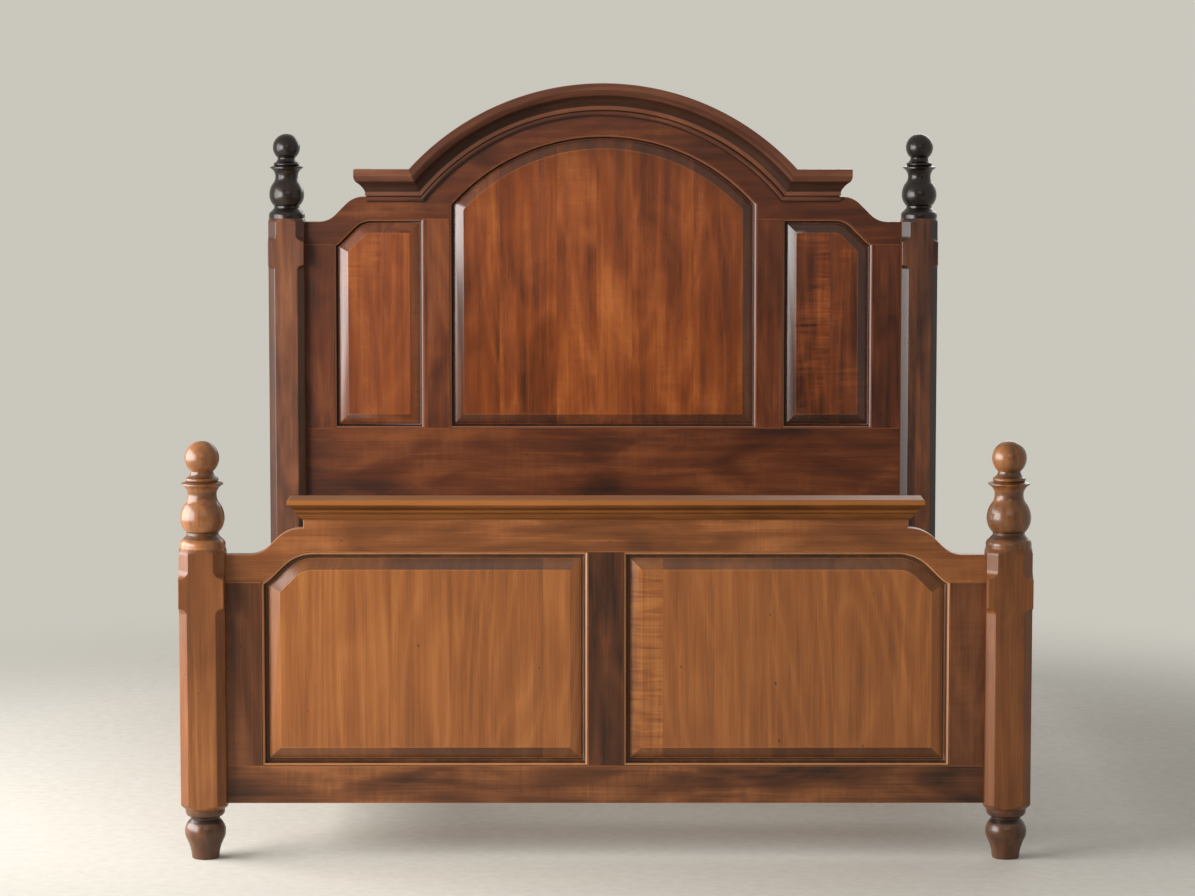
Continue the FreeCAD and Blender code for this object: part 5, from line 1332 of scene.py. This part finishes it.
# %% [markdown]
# ## Side rails, slats and centre legs
# The side rails carry cleats, and the slats lie on them. The slats are plain, unstained wood, as inside most
# beds. The screw heads lie flush in the wood on the real bed; here the boards are a hair lower than the
# heads, so that the heads show.

# %% Side rails
HAIR = 0.15 * MM
side_rail_wood = wood("side_rail_wood", (52, 28, 14), (108, 64, 36), (150, 96, 56), "Y", seed=8.1, cloud=0.8)
inside = []
for side in SIDES:
    inside.append(make_board(f"side_rail_{side}", side_rail_wood, "umber_maple", ease=2.5 * MM))
print("side rails:", len(inside))

# %% Slats
low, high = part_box("slats")
SLAT_WIDTH, SLAT_SPACING, SLAT_COUNT = 89 * MM, 430 * MM, 5
bm = bmesh.new()
for row in range(SLAT_COUNT):
    y = (low.y + high.y) / 2 + (row - (SLAT_COUNT - 1) / 2) * SLAT_SPACING
    middle = Vector(((low.x + high.x) / 2, y, (low.z + high.z - HAIR) / 2))
    stretch = Matrix.Diagonal((high.x - low.x, SLAT_WIDTH, high.z - low.z - HAIR, 1))
    bmesh.ops.create_cube(bm, size=1, matrix=Matrix.Translation(middle) @ stretch)
ease_edges(bm, 2 * MM, 0)
inside.append(place_piece("slats", bm, plain_board, "plain_poplar"))

# %% Centre legs
for row in ("front", "middle", "rear"):
    inside.append(make_board(f"centre_leg_{row}", plain_upright, "plain_poplar", ease=2 * MM, rubbed_and_lit=0))
report("inside of the bed", inside)


# %% [markdown]
# ## Metal, plastic and dowels
# The hook plates, receivers, inserts and screws keep the shapes of the construction model and get zinc and
# steel. The levelling glides are moulded plastic, and the dowels are plain birch. Brushed
# metal is a fine noise in the roughness; moulded plastic has a faint grain in its bump.


# %% Small finishes
def brushed_metal(name, colour, shine):
    recipe = Recipe(name)
    place = recipe.node("TexCoord").outputs["Object"]
    scratches = recipe.noise(place, (260, 2400, 260), 3, 0.6)
    clouds = recipe.noise(place, (60, 60, 60), 3, 0.5)
    shade = recipe.ramp(clouds, [(0.3, linear(*[level * 0.85 for level in colour])), (0.7, linear(*colour))])
    recipe.feed(recipe.shader.inputs["Base Color"], shade)
    recipe.shader.inputs["Metallic"].default_value = 1
    recipe.feed(recipe.shader.inputs["Roughness"], recipe.range(scratches, 0.3, 0.7, shine, shine + 0.15))
    return recipe.material


def moulded_plastic(name, colour):
    recipe = Recipe(name)
    place = recipe.node("TexCoord").outputs["Object"]
    grain = recipe.noise(place, (1400, 1400, 1400), 2, 0.5)
    shade = recipe.ramp(grain, [(0.35, linear(*[level * 0.9 for level in colour])), (0.65, linear(*colour))])
    recipe.feed(recipe.shader.inputs["Base Color"], shade)
    recipe.shader.inputs["Roughness"].default_value = 0.45
    bump = recipe.node("Bump")
    bump.inputs["Strength"].default_value = 0.2
    bump.inputs["Distance"].default_value = 0.2 * MM
    recipe.feed(bump.inputs["Height"], grain)
    recipe.feed(recipe.shader.inputs["Normal"], bump.outputs[0])
    return recipe.material


# %% Dressing the hidden pieces
zinc = brushed_metal("zinc", (188, 190, 192), 0.32)
screw_steel = brushed_metal("screw_steel", (170, 162, 140), 0.28)
black_plastic = moulded_plastic("black_plastic", (38, 38, 40))
dowel_birch = wood("dowel_birch", (176, 142, 98), (206, 174, 128), (226, 198, 156), "Z", polish=0.6)
KEPT_NODES = {
    "rail_hook_plates": zinc, "hook_receivers": zinc, "threaded_inserts": zinc,
    "cleat_screws": screw_steel, "slat_screws": screw_steel,
    "finial_dowels": dowel_birch, "foot_dowels": dowel_birch,
    "levelling_glide_front": black_plastic, "levelling_glide_middle": black_plastic,
    "levelling_glide_rear": black_plastic,
    "slat_cleat_left": plain_upright, "slat_cleat_right": plain_upright,
}
for node, material in KEPT_NODES.items():
    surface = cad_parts[node].data.materials
    surface.clear()
    surface.append(material)
print("kept nodes:", len(KEPT_NODES))

# %% [markdown]
# ## The floor
# A wide, pale floor takes the bed's shadow. Further out it turns into the background colour, for camera,
# glossy and transmission rays, as the sweep of a paper roll does in a studio.

# %% Floor
FLOOR_RADIUS = 14
SWEEP_START, SWEEP_END = 1.25, 2.8
bm = bmesh.new()
bmesh.ops.create_circle(bm, cap_ends=True, segments=96, radius=FLOOR_RADIUS)
floor_mesh = bpy.data.meshes.new("floor")
bm.to_mesh(floor_mesh)
bm.free()
floor = bpy.data.objects.new("floor", floor_mesh)
scene.collection.objects.link(floor)
recipe = Recipe("pale_floor")
place = recipe.node("TexCoord").outputs["Object"]
weave = recipe.noise(place, (38, 38, 38), 4, 0.6)
recipe.feed(recipe.shader.inputs["Base Color"],
            recipe.ramp(weave, [(0.3, linear(205, 201, 191)), (0.7, linear(216, 212, 203))]))
recipe.shader.inputs["Roughness"].default_value = 0.9
distance = recipe.node("VectorMath", operation="LENGTH")
recipe.feed(distance.inputs[0], place)
far = recipe.node("MapRange", interpolation_type="SMOOTHSTEP")
for socket, value in zip(far.inputs, (distance.outputs["Value"], SWEEP_START, SWEEP_END, 0, 1)):
    recipe.feed(socket, value)
rays = recipe.node("LightPath").outputs
seen_directly = recipe.math("MAXIMUM", rays["Is Camera Ray"], rays["Is Glossy Ray"])
seen_directly = recipe.math("MAXIMUM", seen_directly, rays["Is Transmission Ray"])
paper = recipe.node("Emission")
paper.inputs["Color"].default_value = BACKDROP
sweep = recipe.node("MixShader")
recipe.feed(sweep.inputs["Fac"], recipe.math("MULTIPLY", far.outputs[0], seen_directly))
recipe.feed(sweep.inputs[1], recipe.shader.outputs[0])
recipe.feed(sweep.inputs[2], paper.outputs[0])
recipe.feed(recipe.tree.nodes["Material Output"].inputs["Surface"], sweep.outputs[0])
floor_mesh.materials.append(recipe.material)
